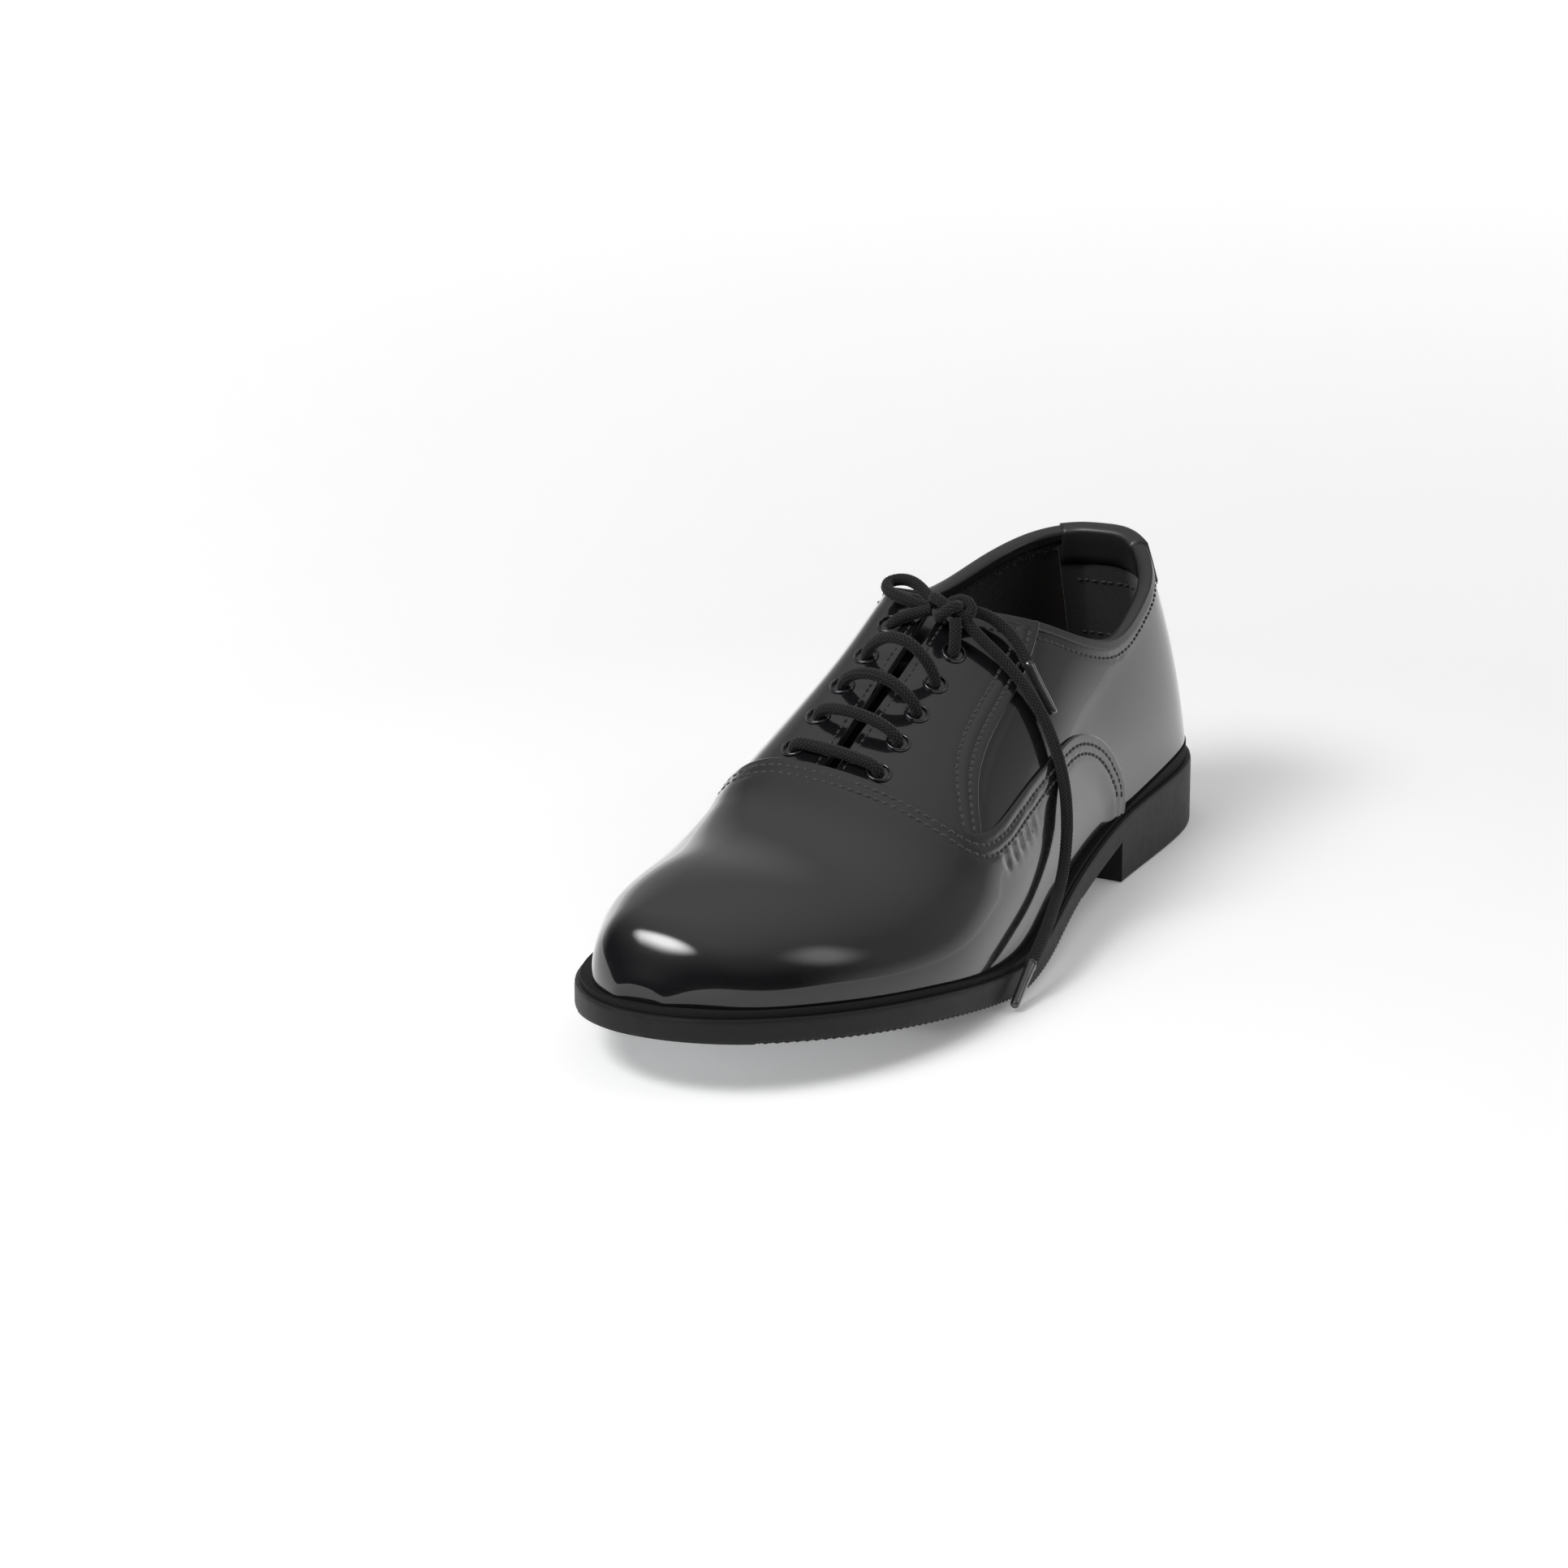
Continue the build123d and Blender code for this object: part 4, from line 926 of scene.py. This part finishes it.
FINE_THREAD = {"pitch": 2.4, "length": 1.95, "radius": 0.34}
GRIP_ROWS = (17.0, 35.5)
for row in VAMP_ROWS:
    stitch_rows(F["vamp"] - row, [F["z"] - 26.0], vamp_height)
for row in SEAM_ROWS:
    stitch_rows(F["quarter"] - row, [-F["vamp"], F["top"] - 3.0, F["s"] - 81], eyestay_height)
for row in FACING_ROWS:
    stitch_rows(F["slot"] - row, [-F["vamp"], F["top"] - TOP_ROW, F["quarter"], 3.0 - F["slot"]],
                eyestay_height, **FINE_THREAD)
stitch_rows(F["top"] - TOP_ROW, [F["slot"] - FACING_ROWS[0], 125.0 - F["s"]], quarter_height, **FINE_THREAD)
for row in GRIP_ROWS:
    stitch_rows(F["top"] - row, [grip_side - 2, grip_rear - 2], quarter_height, pitch=3.0, length=2.3,
                radius=0.34, inner=True)
stitches = new_object("stitching", np.array(stitch_points), stitch_faces, THREAD)

# ======== loose lining fibres under the binding

PER_POINT = 9
FIBRE_WIDTH = 0.07
rng = np.random.default_rng(7)
fibre_points = []
fibre_faces = []
rim = both[(where[:, 1] > -20) & ~in_tab]
rim_at = np.repeat(rim, PER_POINT, axis=0) + rng.normal(0, 1, (len(rim) * PER_POINT, 2)) * (0.02, 0.0)
sign = np.where(rim_at[:, 1] <= 1, -1.0, 1.0)
rim_at[:, 1] += sign * rng.uniform(0.030, 0.050, len(rim_at))
root = surface(rim_at[:, 0], rim_at[:, 1])
rim_n = surface_normal(rim_at[:, 0], rim_at[:, 1])
root = root - rim_n * (WALL + 0.05)
way = unit(rng.normal(0, 0.55, root.shape) - rim_n + (0.0, 0.0, 0.35))
reach = rng.uniform(0.5, 1.5, len(root))
curl = rng.normal(0, 0.3, root.shape)
for k in range(len(root)):
    base = len(fibre_points)
    across = np.cross(way[k], (0.3, 0.5, 0.81))
    across = across / np.linalg.norm(across) * FIBRE_WIDTH
    lift = np.cross(way[k], across)
    for share, wide in ((0.0, 1.0), (0.5, 0.8), (1.0, 0.35)):
        spot = root[k] + way[k] * reach[k] * share + curl[k] * share ** 2
        fibre_points += [spot + across * wide, spot + (-across * 0.5 + lift) * wide,
                         spot + (-across * 0.5 - lift) * wide]
    fibre_faces.extend([base + v for v in face] for face in ring_faces(3, 3, closed=False))
    fibre_faces += [[base + 2, base + 1, base], [base + 6, base + 7, base + 8]]
fibres = closed_object("lining_fibres", np.array(fibre_points), fibre_faces, FIBRE_PAINTED_LIGHT)

# ======== eyelets


def seat(x, y):
    """The last's point and normal above (x, y)."""
    top = grid_points[:, 2] > 45
    far = np.where(top, np.hypot(grid_points[:, 0] - x, grid_points[:, 1] - y), 1e9)
    k = int(np.argmin(far))
    tau, u = flat_tau[k], flat_u[k]
    for _ in range(20):
        p = surface(tau, u)
        e = 1e-4
        dt = (surface(tau + e, u) - p)[:2] / e
        du = (surface(tau, u + e) - p)[:2] / e
        step = np.linalg.solve(np.stack([dt, du], 1), np.array([x, y]) - p[:2])
        tau, u = tau + step[0] * 0.8, u + step[1] * 0.8
    return surface(tau, u), surface_normal(tau, u)


FIRST_Y = -37.0
EYELET_STEP = 13.0
medial_seats = [seat(-18.0 + 0.95 * k, FIRST_Y + EYELET_STEP * k) for k in range(5)]
lateral_seats = [seat(9.0 - 0.65 * k, FIRST_Y + EYELET_STEP * k) for k in range(5)]
# (radius, height) round an eyelet's section
RING = [(2.72, -3.7), (2.72, 0.1), (2.78, 0.42), (2.98, 0.68), (3.25, 0.76), (3.5, 0.62), (3.68, 0.34),
        (3.74, 0.05), (3.6, -0.12), (3.02, -0.3), (3.02, -3.7)]


def lathe(profile, centre, axis, around=48):
    """Rings of a closed profile (radius, height) turned about an axis."""
    axis = np.asarray(axis) / np.linalg.norm(axis)
    side = np.cross(axis, [0.0, 1.0, 0.0])
    side /= np.linalg.norm(side)
    other = np.cross(axis, side)
    angle = lin(0, 2 * math.pi, around, endpoint=False)
    turned = np.cos(angle)[:, None] * side + np.sin(angle)[:, None] * other
    return np.vstack([centre + axis * h + r * turned for r, h in profile]), ring_faces(len(profile), around)


for name, seats in (("medial", medial_seats), ("lateral", lateral_seats)):
    points, faces = [], []
    for centre, axis in seats:
        p, f = lathe(RING, centre, axis)
        faces += [[v + sum(len(q) for q in points) for v in face] for face in f]
        points.append(p)
    ring = closed_object(name + "_eyelet_rings", np.vstack(points), faces, EYELET)
    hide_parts(name + "_eyelets")

# ======== lace

LACE_R = 1.8
KNOT_R = 1.75
LACE_UNDER = WALL + 0.45 + LACE_R
LACE_OVER = 0.5 + 0.3 + LACE_R
BAR_LIFTS = (3.6, 6.0, 9.0, 12.0)
RUN_OFFSET = 5.4
KNOT = np.array([2.6, 20.4, 92.8])
LOOP = [(-4, 22.5, 92.5), (-9, 26, 95.5), (-15, 27.5, 97.3), (-19.5, 24, 96.8), (-17.5, 19, 95.5),
        (-11, 18, 94), (-4.5, 20, 92)]
LONG_END = [(6.4, 21, 90), (11.6, 21.2, 84.8), (17.6, 22.3, 79.8), (24.6, 22.8, 73), (31.2, 23, 63.8),
            (35.9, 22, 54.8), (39.6, 20.6, 45), (42.2, 17.2, 35), (44.8, 10.5, 26.2), (47.6, 1, 20.6),
            (50.6, -10.5, 17.2), (53.4, -22, 13.8), (55, -33, 9.8)]
SHORT_END = [(2.6, 20.4, 92.8), (5.4, 24, 91.6), (9.8, 29.2, 89.6), (15.4, 31.2, 85.4), (20.2, 30.8, 80.4),
             (23.6, 29.2, 76)]
LONG_TIP = (56.4, -46.4, 2.2)
SHORT_TIP = (32.4, 27.6, 63.2)


def over(place):
    """The lace's centre outside an eyelet's (point, normal)."""
    return place[0] + place[1] * LACE_OVER


def under(place):
    """The lace's centre inside an eyelet's (point, normal)."""
    return place[0] - place[1] * LACE_UNDER


def hump(start, end, lift):
    """Two points of a bar that arches between two eyelets."""
    middle = (start[1] + end[1]) * 0.5
    return [start[0] + (end[0] - start[0]) * share + middle * lift for share in (0.3, 0.7)]


def side_step(place):
    """A point of the long inner run, beside an eyelet."""
    n = place[1]
    across = np.array([-n[2], 0.0, n[0]])
    return under(place) + across / np.linalg.norm(across) * RUN_OFFSET - n * 0.4


lace_route = [KNOT + (-5.5, -1.5, -1.0), over(medial_seats[4]), under(medial_seats[4])]
lace_route += [side_step(medial_seats[k]) for k in (3, 2, 1)]
lace_route += [under(medial_seats[0]), over(medial_seats[0])]
for k, start, end in ((0, medial_seats, lateral_seats), (1, lateral_seats, medial_seats),
                      (2, medial_seats, lateral_seats), (3, lateral_seats, medial_seats)):
    if k:
        lace_route.append(over(start[k]))
    lace_route += hump(start[k], end[k], BAR_LIFTS[k])
    lace_route += [over(end[k]), under(end[k])]
    lace_route.append(under((end if k < 3 else lateral_seats)[k + 1]))
lace_route += [over(lateral_seats[4]), KNOT + (3.0, -3.0, -2.0)]


def line_of(points):
    """Points along the NURBS line of a route, in millimetres."""
    curve = bpy.data.curves.new("route", "CURVE")
    curve.dimensions = "3D"
    curve.resolution_u = 32
    line = curve.splines.new("NURBS")
    line.points.add(len(points) - 1)
    for point, place in zip(line.points, points):
        point.co = (place[0] * MM, place[1] * MM, place[2] * MM, 1.0)
    line.order_u = 3
    line.use_endpoint_u = True
    holder = bpy.data.objects.new("route", curve)
    mesh = bpy.data.meshes.new_from_object(holder)
    found = np.array([v.co[:] for v in mesh.vertices]) / MM
    bpy.data.objects.remove(holder)
    bpy.data.meshes.remove(mesh)
    bpy.data.curves.remove(curve)
    return found


def even(path, pitch):
    """A path's points spread evenly, and how far along it each one is."""
    gone = travelled(path)
    at = lin(0, gone[-1], max(3, int(gone[-1] / pitch) + 1))
    return read_at(at, gone, path), at


STRANDS = 8
BRAID_PITCH = 2.4
RELIEF = 0.45
TUBE_PITCH = 0.3
TUBE_SIDES = 48


def braid(angle, along):
    """Height of a round braid's strands: two families that pass over and under each other."""
    a = (angle / (2 * math.pi) + along / (BRAID_PITCH * STRANDS / 2)) * STRANDS
    b = (angle / (2 * math.pi) - along / (BRAID_PITCH * STRANDS / 2)) * STRANDS
    up = ((np.floor(a) + np.floor(b)) % 2 == 0)
    fa, fb = a - np.floor(a), b - np.floor(b)
    return np.where(up, np.sin(math.pi * fa), np.sin(math.pi * fb))


def tube(name, path, radius, closed=False):
    """A braided lace along a path."""
    path, at = even(path, TUBE_PITCH)
    if closed:
        path, at = path[:-1], at[:-1]
        tangent = np.roll(path, -1, axis=0) - np.roll(path, 1, axis=0)
    else:
        tangent = np.gradient(path, axis=0)
    tangent = unit(tangent)
    side = np.cross(tangent[0], [0.0, 0.0, 1.0])
    if np.linalg.norm(side) < 0.1:
        side = np.cross(tangent[0], [0.0, 1.0, 0.0])
    side /= np.linalg.norm(side)
    angle = lin(0, 2 * math.pi, TUBE_SIDES, endpoint=False)
    points = []
    heights = []
    for k in range(len(path)):
        side = side - tangent[k] * (side @ tangent[k])
        side /= np.linalg.norm(side)
        other = np.cross(tangent[k], side)
        height = braid(angle, at[k])
        heights.append(height)
        r = (radius - RELIEF + RELIEF * height)[:, None]
        points.append(path[k] + r * (np.cos(angle)[:, None] * side + np.sin(angle)[:, None] * other))
    faces = [[a, d, c, b] for a, b, c, d in ring_faces(len(path), TUBE_SIDES, closed)]
    if not closed:
        faces.append(list(range(TUBE_SIDES)))
        faces.append([(len(path) - 1) * TUBE_SIDES + k for k in reversed(range(TUBE_SIDES))])
    obj = closed_object(name, np.vstack(points), faces, LACE)
    # painted shade and sheen: each point's strand height, to the 4th power, sets how light the braid is
    # painted there
    braid_shade = obj.data.attributes.new("braid_shade", "FLOAT", "POINT")
    braid_shade.data.foreach_set("value", np.concatenate(heights) ** 4)
    return obj


run = tube("lace_run", line_of(lace_route), LACE_R)
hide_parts("lace")

turn = lin(0, 2 * math.pi, 25)[:-1]
knot_route = np.stack([(np.sin(turn) + 2 * np.sin(2 * turn)) * 2.15,
                       (np.cos(turn) - 2 * np.cos(2 * turn)) * 1.35,
                       -np.sin(3 * turn) * 2.0 + 0.4 * np.cos(turn)], 1) + KNOT
knot = tube("knot_wraps", np.vstack([knot_route, knot_route[:1]]), KNOT_R, closed=True)
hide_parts("lace_knot")


def aglet(name, start, tip, node):
    """A crimped plastic sheath over the lace's end."""
    axis = np.array(tip, float) - np.array(start, float)
    size = np.linalg.norm(axis)
    profile = [(0.05, -1.2), (1.45, -1.2), (1.62, -1.0), (1.66, 0.6), (1.5, 1.5), (1.42, size * 0.4),
               (1.36, size - 1.0), (1.22, size - 0.3), (1.0, size), (0.05, size)]
    piece = closed_object(name, *lathe(profile, np.array(start, float), axis, 32), AGLET)
    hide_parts(node)
    return piece


long_aglet = aglet("long_aglet_sheath", LONG_END[-1], LONG_TIP, "aglet_long")
short_aglet = aglet("short_aglet_sheath", SHORT_END[-1], SHORT_TIP, "aglet_short")
for name, route, node, length, far, pieces in (
        ("long_lace_end", LONG_END, "lace_end_long", 0.1268, "fitting", [long_aglet]),
        ("short_lace_end", SHORT_END, "lace_end_short", 0.0315, "fitting", [short_aglet]),
        ("small_lace_loop", LOOP, "lace_loop", 0.0366, "object", [])):
    path = line_of(route)
    piece = tube(name, path, LACE_R)
    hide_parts(node)

# ======== floor and light

FLOOR_REACH = 6.0
floor_mesh = bpy.data.meshes.new("floor")
floor_corners = [(x * FLOOR_REACH, y * FLOOR_REACH, 0) for x, y in ((-1, -1), (1, -1), (1, 1), (-1, 1))]
floor_mesh.from_pydata(floor_corners, [], [(0, 1, 2, 3)])
floor = bpy.data.objects.new("floor", floor_mesh)
floor_mesh.materials.append(material("floor_white", (0.93, 0.93, 0.93), 0.75, specular=0.2,
                                     layers=[("noise", 30, 0.03, 0.05)], tint=(0.945, 0.945, 0.945)))
bpy.context.scene.collection.objects.link(floor)
# the floor brightens away from the shoe, where the lamps' own light fades
glow = floor_mesh.materials[0].node_tree
glow_place = add_node(glow, "TexCoord")
glow_away = add_node(glow, "VectorMath", wires=[(0, glow_place.outputs["Object"])], operation="LENGTH")
glow_rise = add_node(glow, "MapRange",
                     [("From Min", 0.3), ("From Max", 1.6), ("To Min", 0.15), ("To Max", 0.7)],
                     [("Value", glow_away.outputs["Value"])])
glow_shader = glow.nodes["Principled BSDF"]
glow.links.new(glow_rise.outputs["Result"], glow_shader.inputs["Emission Strength"])
glow_shader.inputs["Emission Color"].default_value = (1.0, 1.0, 1.0, 1.0)

world = bpy.data.worlds.new("studio")
bpy.context.scene.world = world
world.use_nodes = True
sky = world.node_tree
sky_place = add_node(sky, "TexCoord")
sky_parts = add_node(sky, "SeparateXYZ", wires=[("Vector", sky_place.outputs["Generated"])])


def ramp(value, stops):
    """Grey levels along a value."""
    node = add_node(sky, "ValToRGB", wires=[("Fac", value)])
    while len(node.color_ramp.elements) < len(stops):
        node.color_ramp.elements.new(0.5)
    for element, (place, grey) in zip(node.color_ramp.elements, stops):
        element.position = place
        element.color = (grey, grey, grey, 1.0)
    return node.outputs["Color"]


# a dark room in front of the shoe, a bright wall behind it, a bright ceiling
front = ramp(sky_parts.outputs["Z"], [(0.0, 0.01), (0.30, 0.02), (0.42, 0.10), (0.75, 0.40), (1.0, 0.85)])
rear = ramp(sky_parts.outputs["Z"], [(0.0, 1.0), (0.2, 0.4), (0.55, 0.35), (1.0, 0.85)])
turn_away = add_node(sky, "MapRange", [("From Min", -0.1), ("From Max", 0.5)],
                     [("Value", sky_parts.outputs["Y"])])
blend = add_node(sky, "Mix", wires=[("Factor", turn_away.outputs["Result"]), ("A", front), ("B", rear)],
                 data_type="RGBA")
sky.links.new(blend.outputs["Result"], sky.nodes["Background"].inputs["Color"])
sky.nodes["Background"].inputs["Strength"].default_value = 0.9


def softbox(name, place, aim, width, height, power):
    """A soft light whose brightness fades out towards its edges."""
    data = bpy.data.lights.new(name, "AREA")
    data.shape = "RECTANGLE"
    data.size = width
    data.size_y = height
    data.energy = power
    data.use_nodes = True
    tree = data.node_tree
    spot = add_node(tree, "NewGeometry")
    centred = add_node(tree, "VectorMath", [(1, (0.5, 0.5, 0.0))], [(0, spot.outputs["Parametric"])],
                       operation="SUBTRACT")
    away = add_node(tree, "VectorMath", wires=[(0, centred.outputs["Vector"])], operation="LENGTH")
    fade = add_node(tree, "MapRange",
                    [("From Min", 0.08), ("From Max", 0.5), ("To Min", 1.0), ("To Max", 0.0)],
                    [("Value", away.outputs["Value"])], interpolation_type="SMOOTHSTEP")
    tree.links.new(fade.outputs["Result"], tree.nodes["Emission"].inputs["Strength"])
    obj = bpy.data.objects.new(name, data)
    obj.location = place
    obj.rotation_euler = (Vector(place) - Vector(aim)).to_track_quat("Z", "Y").to_euler()
    bpy.context.scene.collection.objects.link(obj)


softbox("overhead", (-0.42, -0.95, 1.22), (0, 0, 0.05), 1.5, 0.8, 60)
softbox("side", (1.6, 0.45, 1.2), (0, 0.05, 0.05), 1.3, 1.3, 9)
bpy.context.scene.view_settings.view_transform = "Standard"
